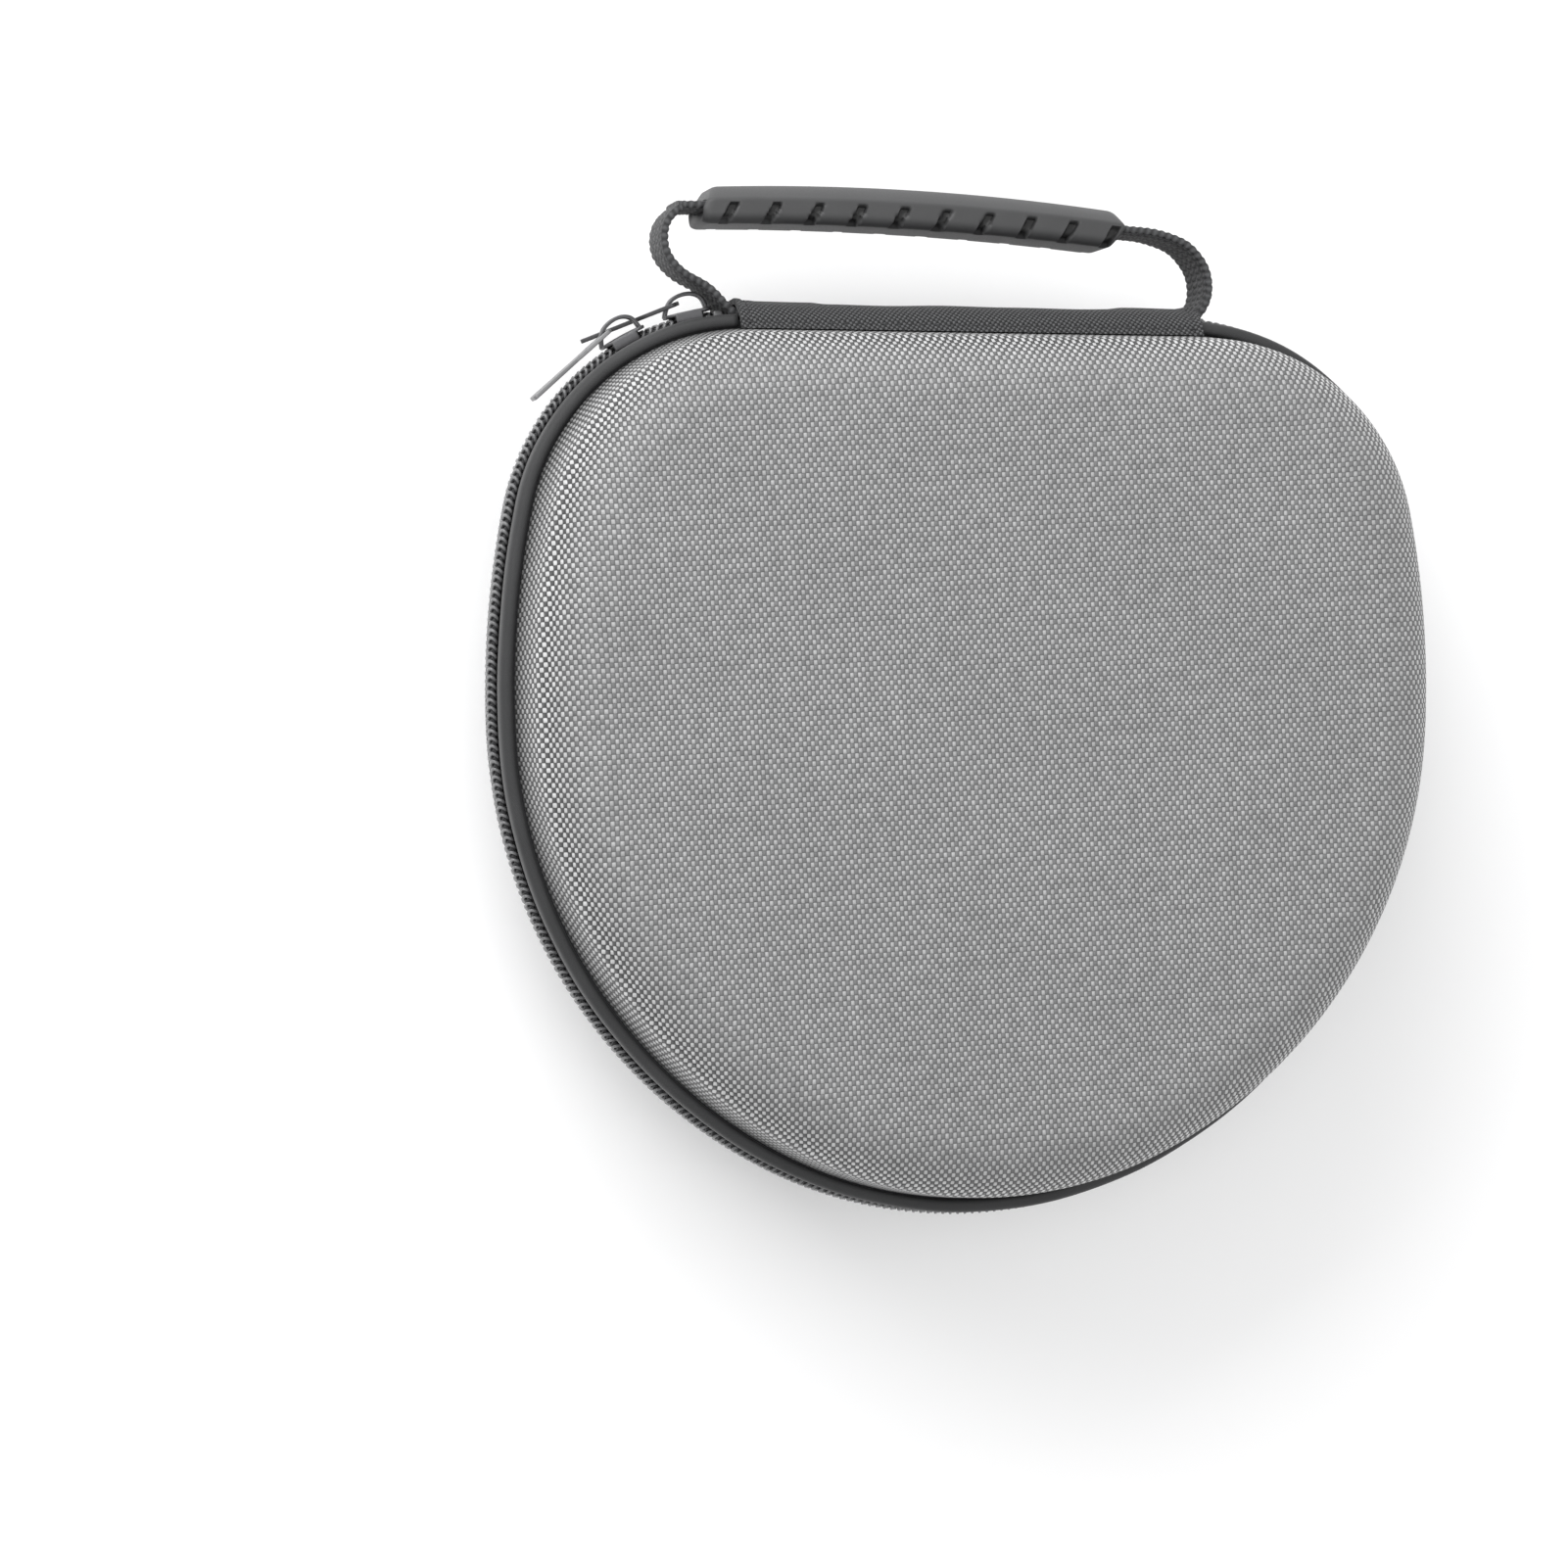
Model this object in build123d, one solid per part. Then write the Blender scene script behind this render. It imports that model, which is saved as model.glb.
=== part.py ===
from build123d import *
import os
from math import sin, cos, tan, radians, pi, hypot, atan2, degrees

# ---------------------------------------------------------------------------
# Hard-shell headphone carrying case: two moulded half shells joined by a fabric
# hinge along the top, closed by a coil zip with two sliders, carried by a
# webbing handle with a moulded grip.
#
# Frame (mm): the case lies on the flat face of its rear shell. Origin at the
# centre of that face, +Z out of the front face, +Y towards the handle, +X to
# the right seen from the front. The zip runs in the mid plane z = MID.
# "r" below means a distance outward from the rim line of the covers.
# ---------------------------------------------------------------------------

# outline of the zip coil, seen from the front: a flat top and tangent arcs
FLAT = 53.0            # half length of the flat top
R1, A1 = 56.5, 78.7    # top corner: radius, degrees turned
R2, A2 = 219.0, 14.0   # side
R3, A3 = 122.0, 60.0   # lower flank
CLOSE = None           # the last arc closes on the centre line

DEPTH = 86.0           # front face to rear face
MID = DEPTH / 2
RIM = 4.8              # the covers' rim line lies this far inside the coil
DRAFT = 6.0            # lean of the side walls, degrees
FACE_R = 16.0          # rounding between wall and face

# layers of one half, from outside
COVER_T = 0.8
SHELL_T = 3.2
LINING_T = 0.8

# rim stack, measured from the mid plane (w) and from the rim line (r)
BIND_W0, FLANGE_W1, BIND_W1 = 7.0, 11.5, 12.6
FLANGE_R = 1.9
TAPE_R0, TAPE_R1, TAPE_W0 = 1.9, 2.5, 0.75
BIND_R = 3.4
COIL_R0, COIL_R1, COIL_W0, COIL_W1 = 2.5, 4.8, 0.75, 3.1
CHAIN_END = 56.2       # the zip and its binding stop here, at the hinge

# hinge panel
PANEL_HALF = 55.5
PANEL_R = 6.2          # outside of the panel above the rim line
PANEL_T = 1.5
PANEL_FLAT = 8.0       # half width of its flat back
PANEL_ROUND = 9.0
FOLD_W = 8.0           # fold lines, from the mid plane
FOLD_R = 5.5

# handle
STRAP_W, STRAP_T = 16.0, 2.0
GRIP_T, GRIP_W = 9.2, 20.0

# sliders and pulls: angles along the top left corner, from its centre
SLIDER_A, SLIDER_B = 12.6, 29.1
SLIDER_L, SLIDER_W = 11.0, 9.2
PULL_T = 1.0
PULL_LEN = 24.5
PULL_A_DIR, PULL_B_DIR = 202.0, 222.0
PULL_A_YAW = 26.0      # this pull leans to the rear to pass beside the other slider

# ---------------------------------------------------------------------------
os.makedirs("parts", exist_ok=True)


def arcs():
    """Centre, radius, start and end heading of each arc, top at y = 0."""
    x, y, th, out = FLAT, 0.0, 0.0, []
    for rad, ang in ((R1, A1), (R2, A2), (R3, A3)):
        cx, cy = x - rad * sin(th), y - rad * cos(th)
        t2 = th + radians(ang)
        out.append((cx, cy, rad, th, t2))
        x, y, th = cx + rad * sin(t2), cy + rad * cos(t2), t2
    rad = x / sin(th)
    out.append((0.0, y - rad * cos(th), rad, th, pi))
    return out


ARCS = arcs()
HEIGHT = -(ARCS[-1][1] - ARCS[-1][2])
TOP = HEIGHT / 2                    # y of the coil's outline at the top
WIDTH = 2 * max(c[0] + (c[2] if c[3] <= pi / 2 <= c[4] else 0) for c in ARCS)


def outline(off):
    """Closed face of the outline, moved outward by off from the coil's outline."""
    top = TOP + off
    edges = [Line((-FLAT, top), (FLAT, top))]
    for side in (1, -1):
        for cx, cy, rad, t0, t1 in ARCS:
            r = rad + off
            p = [
                (side * (cx + r * sin(t)), TOP + cy + r * cos(t))
                for t in (t0, (t0 + t1) / 2, t1)
            ]
            edges.append(ThreePointArc(*p))
    face = Face(Wire(edges))
    return face if face.normal_at().Z > 0 else -face


def rim(r):
    return outline(r - RIM)


def at(w, obj):
    return Pos(0, 0, MID + w) * obj


def prism(r, w0, w1):
    return at(w0, extrude(rim(r), w1 - w0))


def dome(r, w0, w1, rad):
    """Solid dome with its rim outline at r: straight up to the rim plane, then drafted."""
    up = extrude(rim(r), w1 - FLANGE_W1, taper=DRAFT)
    if up.bounding_box().min.Z < -1:
        up = mirror(up, about=Plane.XY)
    up = at(FLANGE_W1, up)
    top = up.faces().sort_by(Axis.Z)[-1]
    up = fillet(top.edges(), rad)
    if w0 < FLANGE_W1:
        up = up + prism(r, w0, FLANGE_W1)
    return up


def other_half(obj):
    return mirror(obj, about=Plane.XY.offset(MID))


def ring(r0, r1, w0, w1):
    return prism(r1, w0, w1) - prism(r0, w0 - 1, w1 + 1)


def cut_top(obj, half):
    return obj - Pos(0, TOP, MID) * Box(2 * half, 40, 80)


def solid(obj):
    s = obj.solids()
    return s[0] if len(s) == 1 else Compound(children=list(s))


def save(obj, name):
    s = solid(obj)
    s.label = name
    export_step(s, f"parts/{name}.step")
    bb = s.bounding_box()
    print(f"{name:22s} v={s.volume:10.1f} n={len(s.solids())} "
          f"x {bb.min.X:7.1f}..{bb.max.X:7.1f} y {bb.min.Y:7.1f}..{bb.max.Y:7.1f} z {bb.min.Z:6.1f}..{bb.max.Z:6.1f}")
    return s


parts = {}

# --- covers, shells, linings -------------------------------------------------
s0 = dome(0.0, FLANGE_W1, MID, FACE_R)
s1 = dome(-COVER_T, FLANGE_W1 - 1, MID - COVER_T, FACE_R - COVER_T)
s1b = dome(-COVER_T, FLANGE_W1, MID - COVER_T, FACE_R - COVER_T)
t2 = COVER_T + SHELL_T
s2 = dome(-t2, BIND_W0 - 1, MID - t2, FACE_R - t2)
s2b = dome(-t2, BIND_W0, MID - t2, FACE_R - t2)
t3 = t2 + LINING_T
s3 = dome(-t3, BIND_W0 - 1, MID - t3, FACE_R - t3)

front_cover = s0 - s1
front_shell = (s1b + prism(FLANGE_R, BIND_W0, FLANGE_W1)) - s2
front_lining = s2b - s3
parts["front_cover"] = front_cover
parts["front_shell"] = front_shell
parts["front_lining"] = front_lining
parts["rear_cover"] = other_half(front_cover)
parts["rear_shell"] = other_half(front_shell)
parts["rear_lining"] = other_half(front_lining)

# --- rim: binding, zip tape, coil and end stops -------------------------------
binding = prism(BIND_R, BIND_W0, BIND_W1)
outer_edge = [e for e in binding.edges() if abs(e.center().Z - (MID + BIND_W1)) < 0.01]
binding = fillet(outer_edge, 1.0)
binding = binding - prism(TAPE_R1, BIND_W0 - 1, FLANGE_W1) - prism(0.05, FLANGE_W1 - 1, BIND_W1 + 1)
binding = cut_top(binding, CHAIN_END)
parts["front_binding"] = binding
parts["rear_binding"] = other_half(binding)

tape = cut_top(ring(TAPE_R0, TAPE_R1, TAPE_W0, FLANGE_W1), CHAIN_END)
parts["front_zip_tape"] = tape
parts["rear_zip_tape"] = other_half(tape)

coil = cut_top(ring(COIL_R0, COIL_R1, COIL_W0, COIL_W1), CHAIN_END + 3.4)
parts["front_zip_coil"] = coil
parts["rear_zip_coil"] = other_half(coil)

stop_band = ring(COIL_R0, COIL_R1 + 0.4, COIL_W0, COIL_W1 + 0.3)
stop_slab = Pos(0, TOP, MID) * Box(2 * (CHAIN_END + 3.0), 40, 40) - Pos(0, TOP, MID) * Box(2 * (CHAIN_END + 0.8), 41, 41)
stops = stop_band & stop_slab
parts["front_zip_stops"] = stops
parts["rear_zip_stops"] = other_half(stops)

# --- fabric hinge --------------------------------------------------------------
# section in (w, r), drawn on the YZ plane with y = TOP - RIM + r, z = MID + w


def slot_section(rad, top_r):
    c = top_r - rad
    body = Pos(0, (top_r + c) / 2) * Rectangle(2 * PANEL_FLAT, rad)
    return body + Pos(PANEL_FLAT, c) * Circle(rad) + Pos(-PANEL_FLAT, c) * Circle(rad)


sec = slot_section(PANEL_ROUND, PANEL_R) - slot_section(PANEL_ROUND - PANEL_T, PANEL_R - PANEL_T)
slope = tan(radians(DRAFT))
gap = 0.3
for sgn in (1, -1):
    sec = sec - make_face(Polyline(
        (sgn * 0.0, -30), (sgn * 0.0, gap), (sgn * FLANGE_W1, gap),
        (sgn * 30, gap - slope * (30 - FLANGE_W1)), (sgn * 30, -30), close=True))
# drawn with local x = w (row Z) and local y = r (row Y), extruded along X
hinge_plane = Plane(origin=(0, TOP - RIM, MID), x_dir=(0, 0, 1), z_dir=(-1, 0, 0))
panel = extrude(hinge_plane * sec, PANEL_HALF, both=True)
parts["hinge_panel"] = panel
parts["hinge_lining"] = Pos(0, TOP - RIM + 2.45, MID) * Box(2 * 54.0, 0.5, 20.0)

# sewn ends of the handle's webbing, between the panel and its lining
anchor_l = 19.0
for name, sgn in (("strap_anchor_left", -1), ("strap_anchor_right", 1)):
    parts[name] = Pos(sgn * (PANEL_HALF - 0.2 - anchor_l / 2), TOP - RIM + 3.7, MID) * Box(anchor_l, 1.7, STRAP_W - 0.2)

# --- lid pocket ------------------------------------------------------------------
POCKET_TOP = TOP - 84.0
POCKET_W = 31.0
inset = -t3 - slope * (POCKET_W - FLANGE_W1) - 1.4
plate = at(POCKET_W, extrude(rim(inset), 0.8))
parts["mesh_pocket"] = plate & Pos(0, POCKET_TOP - 8.2 - 100, MID + POCKET_W) * Box(400, 200, 10)
hem = at(POCKET_W - 0.4, extrude(rim(inset), 1.6))
parts["pocket_hem"] = hem & Pos(0, POCKET_TOP - 4, MID + POCKET_W) * Box(400, 8, 10)

# --- handle -----------------------------------------------------------------------
# the webbing's centre line in the mid plane, heights above the coil's top
STRAP_PTS = [
    (-58.0, 1.5), (-61.4, 5.5), (-67.6, 8.2), (-72.0, 13.0), (-72.2, 19.2), (-69.0, 23.9), (-61.5, 24.2),
    (-12.0, 24.0), (38.5, 20.4), (46.5, 19.9), (54.5, 17.4), (59.2, 11.6), (59.8, 5.5), (58.2, 1.5),
]
STRAP_RADII = [3.0, 4.5, 6.0, 5.0, 4.5, 5.5, 400.0, 60.0, 16.0, 7.0, 6.0, 5.0]


def strap_line():
    pts = [(x, TOP + y) for x, y in STRAP_PTS]
    return FilletPolyline(*pts, radius=STRAP_RADII)


line = strap_line()
strap_len = line.length
strap_face = trace(line, STRAP_T)
strap = Pos(0, 0, MID) * extrude(strap_face, STRAP_W / 2, both=True)
parts["handle_strap"] = strap
print(f"handle webbing: {strap_len:.1f} mm long, section {STRAP_T} x {STRAP_W}")

# grip: a slightly arched sleeve round the webbing
g_top = ThreePointArc((-61.0, TOP + 28.6), (-12.0, TOP + 28.6), (37.0, TOP + 24.8))
g_bot = ThreePointArc((-63.4, TOP + 19.6), (-12.0, TOP + 19.4), (35.2, TOP + 16.0))
g_edges = Wire([g_top, Line(g_top @ 1, (38.8, TOP + 22.2)), Line((38.8, TOP + 22.2), g_bot @ 1), g_bot,
                Line(g_bot @ 0, (-63.4, TOP + 22.4)), Line((-63.4, TOP + 22.4), g_top @ 0)])
grip = Pos(0, 0, MID) * extrude(Face(g_edges), GRIP_W / 2, both=True)
long_edges = [e for e in grip.edges() if e.length > 60]
grip = fillet(long_edges, 2.6)
bore = Pos(0, 0, MID) * extrude(trace(line, STRAP_T + 0.3), STRAP_W / 2 + 0.2, both=True)
grip = grip - bore
# slanted finger slots in the lower half of both faces
for i in range(9):
    x = -52.0 + 10.4 * i
    y = TOP + 20.6 - 0.036 * (x + 12)
    for sgn in (1, -1):
        grip = grip - Pos(x, y, MID + sgn * (GRIP_W / 2)) * Rot(0, 0, -28) * Box(2.2, 5.6, 2.0)
parts["handle_grip"] = grip

# --- sliders ----------------------------------------------------------------------
CORNER = Vector(-FLAT, TOP - R1, MID)      # centre of the top left corner


def on_chain(theta, obj):
    """Place an object drawn with x along the chain away from the hinge, y outward from the rim line."""
    t = radians(theta)
    rad = R1 - RIM
    ox, oy = CORNER.X - rad * sin(t), CORNER.Y + rad * cos(t)
    loc = Plane(origin=(ox, oy, MID), x_dir=(-cos(t), -sin(t), 0), z_dir=(0, 0, -1)).location
    return loc * obj


def slider():
    w = SLIDER_W / 2
    top_plate = Pos(0, 5.47, 0) * Rot(90, 0, 0) * extrude(RectangleRounded(SLIDER_L, SLIDER_W, 2.4), 0.37, both=True)
    low_plate = Pos(0, 0.8, 0) * Rot(90, 0, 0) * extrude(RectangleRounded(SLIDER_L - 0.8, SLIDER_W - 0.4, 2.4), 0.5, both=True)
    neck = Pos(-2.6, 3.2, 0) * Box(3.0, 4.6, 0.9)
    body = top_plate + low_plate + neck
    for sgn in (1, -1):
        body = body + Pos(0.3, 4.4, sgn * (w - 0.45)) * Box(6.2, 2.0, 0.9)
    path = FilletPolyline((5.4, 5.5), (3.1, 9.5), (-3.9, 9.6), (-4.9, 5.5), radius=[1.2, 1.8])
    bridge = extrude(trace(path, 0.9), 0.95, both=True)
    return body + bridge


def pull():
    """Flat pull along +x, width along z, with its slot from x = -SLOT_END to SLOT_L - SLOT_END."""
    x0 = -SLOT_END - 1.0
    side = [(x0, 1.7), (x0 + 0.7, 2.5), (SLOT_L - SLOT_END + 0.2, 2.5), (8.0, 1.7), (x0 + PULL_LEN, 3.2)]
    face = make_face(Polyline(*side, *[(x, -z) for x, z in reversed(side)], close=True))
    face = face - Pos(SLOT_L / 2 - SLOT_END, 0) * Rectangle(SLOT_L, 3.4)
    return Rot(90, 0, 0) * extrude(face, PULL_T / 2, both=True)


PIVOT_S, PIVOT_R = 4.1, 7.8                 # the middle of the bridge's leaning foot
SLOT_END, SLOT_L = 1.6, 6.2


def chain_point(theta, s, r):
    t = radians(theta)
    rad = R1 - RIM + r
    return (CORNER.X - rad * sin(t) - s * cos(t), CORNER.Y + rad * cos(t) - s * sin(t))


sl = slider()
parts["slider_a_body"] = on_chain(SLIDER_A, sl)
parts["slider_b_body"] = on_chain(SLIDER_B, sl)
PIV_A = chain_point(SLIDER_A, PIVOT_S, PIVOT_R)
PIV_B = chain_point(SLIDER_B, PIVOT_S, PIVOT_R)
parts["pull_a_plate"] = Pos(PIV_A[0], PIV_A[1], MID) * Rot(0, 0, PULL_A_DIR) * Rot(0, PULL_A_YAW, 0) * pull()
parts["pull_b_plate"] = Pos(PIV_B[0], PIV_B[1], MID) * Rot(0, 0, PULL_B_DIR) * pull()

# ------------------------------------------------------------------------------------
for name in list(parts):
    parts[name] = save(parts[name], name)

print(f"outline {WIDTH:.2f} x {HEIGHT:.2f} mm, depth {DEPTH}")
print("corner centre", CORNER, "pivots", PIV_A, PIV_B)
print("fold y", TOP - RIM + FOLD_R, "top", TOP)
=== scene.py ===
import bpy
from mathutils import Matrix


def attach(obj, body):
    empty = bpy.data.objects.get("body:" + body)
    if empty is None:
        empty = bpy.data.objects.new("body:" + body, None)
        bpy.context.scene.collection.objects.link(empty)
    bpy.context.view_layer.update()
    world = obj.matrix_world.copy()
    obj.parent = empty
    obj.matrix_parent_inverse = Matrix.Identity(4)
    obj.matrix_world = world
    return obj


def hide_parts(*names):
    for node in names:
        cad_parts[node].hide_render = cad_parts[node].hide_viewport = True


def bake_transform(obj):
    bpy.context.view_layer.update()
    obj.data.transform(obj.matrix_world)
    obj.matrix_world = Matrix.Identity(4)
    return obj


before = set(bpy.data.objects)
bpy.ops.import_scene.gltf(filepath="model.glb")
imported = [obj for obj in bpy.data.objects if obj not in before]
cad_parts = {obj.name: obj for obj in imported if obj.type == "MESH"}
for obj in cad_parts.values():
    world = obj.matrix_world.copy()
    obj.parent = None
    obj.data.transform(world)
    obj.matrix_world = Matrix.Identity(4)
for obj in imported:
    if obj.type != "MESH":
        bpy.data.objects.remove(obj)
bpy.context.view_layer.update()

import math
import random
import bpy
import numpy as np
from math import sin, cos, tan, pi, radians, sqrt, floor
from mathutils import Vector, Matrix

rng = random.Random(11)

# --------------------------------------------------------------------------
# geometry of the case in mm, as in the CAD source
# --------------------------------------------------------------------------
FLAT = 53.0
SEG = ((56.5, 78.7), (219.0, 14.0), (122.0, 60.0))
RIM, MID, DEPTH = 4.8, 43.0, 86.0
DRAFT = tan(radians(6.0))
FACE_R = 16.0


def arc_list():
    x, y, th, out = FLAT, 0.0, 0.0, []
    for rad, ang in SEG:
        cx, cy = x - rad * sin(th), y - rad * cos(th)
        t2 = th + radians(ang)
        out.append((cx, cy, rad, th, t2))
        x, y, th = cx + rad * sin(t2), cy + rad * cos(t2), t2
    rad = x / sin(th)
    out.append((0.0, y - rad * cos(th), rad, th, pi))
    return out


ARCS = arc_list()
HEIGHT = -(ARCS[-1][1] - ARCS[-1][2])
TOP = HEIGHT / 2
RIM_Y = TOP - RIM                     # y of the covers' rim at the top
CORNER = (-FLAT, TOP - SEG[0][0])


def station(side, k, t):
    """Origin, base radius and outward normal of a point of the outline."""
    cx, cy, rad, _, _ = ARCS[k]
    return (side * cx, TOP + cy, rad - RIM, side * sin(t), cos(t))


def loop_stations(step=2.0, closed=True, start_deg=3.5):
    """Stations clockwise from the top. closed adds the flat top; open runs from hinge end to hinge end."""
    st = []
    if closed:
        n = max(2, int(round(2 * FLAT / step)))
        for i in range(n):
            st.append((-FLAT + 2 * FLAT * i / n, RIM_Y, 0.0, 0.0, 1.0))
    for side, order in ((1, (0, 1, 2, 3)), (-1, (3, 2, 1, 0))):
        for k in order:
            cx, cy, rad, t0, t1 = ARCS[k]
            if k == 0 and not closed:
                t0 = radians(start_deg)
            n = max(2, int(round((rad - RIM) * (t1 - t0) / step)))
            ts = [t0 + (t1 - t0) * i / n for i in range(n + 1)]
            if side < 0:
                ts = ts[::-1]
            last = (side < 0 and k == 0 and not closed)
            for t in (ts if last else ts[:-1]):
                st.append(station(side, k, t))
    return np.array(st)


def pts(st, r):
    """Plan points of the stations at distance r outward from the rim line."""
    rr = (st[:, 2] + r)[:, None]
    return st[:, 0:2] + rr * st[:, 3:5]


def arc_length(st, r, closed):
    p = pts(st, r)
    d = np.linalg.norm(np.diff(p, axis=0), axis=1)
    return np.concatenate([[0], np.cumsum(d)])


# --------------------------------------------------------------------------
# mesh helpers
# --------------------------------------------------------------------------
def new_object(name, verts, faces, uvs=None, attrs=None, smooth=True, mat=None, sharp=None):
    me = bpy.data.meshes.new(name)
    me.from_pydata([tuple(v) for v in (np.asarray(verts) * 0.001)], [], faces)
    me.update()
    if uvs is not None:
        layer = me.uv_layers.new(name="UVMap")
        uv = np.asarray(uvs, float)
        idx = np.zeros(len(me.loops), dtype=np.int32)
        me.loops.foreach_get("vertex_index", idx)
        if uv.shape[0] == len(me.vertices):
            data = uv[idx]
        else:
            data = uv
        layer.data.foreach_set("uv", (data * 0.001).astype(np.float32).ravel())
    for key, val in (attrs or {}).items():
        a = me.attributes.new(key, "FLOAT", "POINT")
        a.data.foreach_set("value", np.asarray(val, np.float32))
    if smooth:
        me.polygons.foreach_set("use_smooth", [True] * len(me.polygons))
    if sharp is not None:
        me.set_sharp_from_angle(angle=radians(sharp))
    ob = bpy.data.objects.new(name, me)
    bpy.context.scene.collection.objects.link(ob)
    if mat is not None:
        me.materials.append(mat)
    return ob


def grid_faces(nu, nv, closed_u=False, closed_v=False, flip=False, base=0):
    """Faces of a grid stored as index = i * nv + j."""
    out = []
    for i in range(nu if closed_u else nu - 1):
        i2 = (i + 1) % nu
        for j in range(nv if closed_v else nv - 1):
            j2 = (j + 1) % nv
            q = (base + i * nv + j, base + i2 * nv + j, base + i2 * nv + j2, base + i * nv + j2)
            out.append(q[::-1] if flip else q)
    return out


def loft(name, st, profile, closed_loop, closed_profile, half, mat, caps=True, wobble=None, uv_scale=1.0, attrs=None, sharp=None):
    """Sweep a profile of (r, w) round the outline. half is +1 for the front and -1 for the rear."""
    prof = np.array(profile, float)
    nu, nv = len(st), len(prof)
    verts = np.zeros((nu, nv, 3))
    for j, (r, w) in enumerate(prof):
        rr = np.full(nu, r)
        ww = np.full(nu, w)
        if wobble is not None:
            dr, dw = wobble(j)
            rr = rr + dr
            ww = ww + dw
        verts[:, j, 0:2] = st[:, 0:2] + (st[:, 2] + rr)[:, None] * st[:, 3:5]
        verts[:, j, 2] = MID + half * ww
    s = arc_length(st, 3.0, closed_loop)
    pl = np.concatenate([[0], np.cumsum(np.linalg.norm(np.diff(prof, axis=0), axis=1))])
    faces = grid_faces(nu, nv, closed_loop, closed_profile, flip=(half > 0))
    # per loop uv, so that seams don't wrap
    total = s[-1] + (np.linalg.norm(pts(st, 3.0)[0] - pts(st, 3.0)[-1]) if closed_loop else 0)
    peri = pl[-1] + np.linalg.norm(prof[0] - prof[-1])
    uvs = []
    for f in faces:
        iv = [divmod(v, nv) for v in f]
        wi = closed_loop and max(i for i, _ in iv) == nu - 1 and min(i for i, _ in iv) == 0
        wj = closed_profile and max(j for _, j in iv) == nv - 1 and min(j for _, j in iv) == 0 and nv > 2
        for i, j in iv:
            u = total if (wi and i == 0) else s[i]
            v = peri if (wj and j == 0) else pl[j]
            uvs.append((u * uv_scale, v))
    flat = verts.reshape(-1, 3)
    if caps and not closed_loop and closed_profile:
        a = tuple(range(nv))
        b = tuple((nu - 1) * nv + j for j in range(nv))
        if half > 0:
            faces += [a, b[::-1]]
        else:
            faces += [a[::-1], b]
        for f in faces[-2:]:
            for v in f:
                i, j = divmod(v, nv)
                uvs.append((s[i], pl[j]))
    return new_object(name, flat, faces, uvs, attrs, mat=mat, sharp=sharp)


def frames_along(path, up):
    """Tangent, side and up vectors along a polyline (rotation kept close to up)."""
    path = np.asarray(path, float)
    t = np.gradient(path, axis=0)
    t /= np.linalg.norm(t, axis=1)[:, None]
    up = np.broadcast_to(np.asarray(up, float), path.shape)
    side = np.cross(t, up)
    side /= np.linalg.norm(side, axis=1)[:, None] + 1e-12
    u2 = np.cross(side, t)
    return t, side, u2


def tube(path, radius, sides=8, up=(0, 0, 1), closed=False, squash=(1.0, 1.0), cap=True):
    """Verts and faces of a tube along a path. radius may vary along it."""
    path = np.asarray(path, float)
    n = len(path)
    t, a, b = frames_along(path, up)
    rad = np.broadcast_to(np.asarray(radius, float), (n,))
    ang = np.arange(sides) * 2 * pi / sides
    v = path[:, None, :] + rad[:, None, None] * (a[:, None, :] * (np.cos(ang) * squash[0])[None, :, None] + b[:, None, :] * (np.sin(ang) * squash[1])[None, :, None])
    faces = grid_faces(n, sides, closed, True, flip=False)
    if cap and not closed:
        faces.append(tuple(range(sides)))
        faces.append(tuple((n - 1) * sides + j for j in range(sides))[::-1])
    return v.reshape(-1, 3), faces


def merge(parts):
    """Join (verts, faces) lists."""
    vs, fs, base = [], [], 0
    for v, f in parts:
        v = np.asarray(v, float)
        vs.append(v)
        fs += [tuple(i + base for i in q) for q in f]
        base += len(v)
    return np.concatenate(vs), fs


def catmull(p, n, closed=False):
    p = np.asarray(p, float)
    out = []
    m = len(p)
    for i in range(m if closed else m - 1):
        if closed:
            p0, p1, p2, p3 = p[(i - 1) % m], p[i], p[(i + 1) % m], p[(i + 2) % m]
        else:
            p0, p1, p2, p3 = p[max(i - 1, 0)], p[i], p[i + 1], p[min(i + 2, m - 1)]
        for k in range(n):
            t = k / n
            out.append(0.5 * (2 * p1 + (p2 - p0) * t + (2 * p0 - 5 * p1 + 4 * p2 - p3) * t * t + (3 * p1 - p0 - 3 * p2 + p3) * t ** 3))
    if not closed:
        out.append(p[-1])
    return np.array(out)


def resample(p, step):
    p = np.asarray(p, float)
    d = np.concatenate([[0], np.cumsum(np.linalg.norm(np.diff(p, axis=0), axis=1))])
    n = max(2, int(round(d[-1] / step)) + 1)
    q = np.linspace(0, d[-1], n)
    return np.stack([np.interp(q, d, p[:, k]) for k in range(p.shape[1])], 1), q


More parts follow.
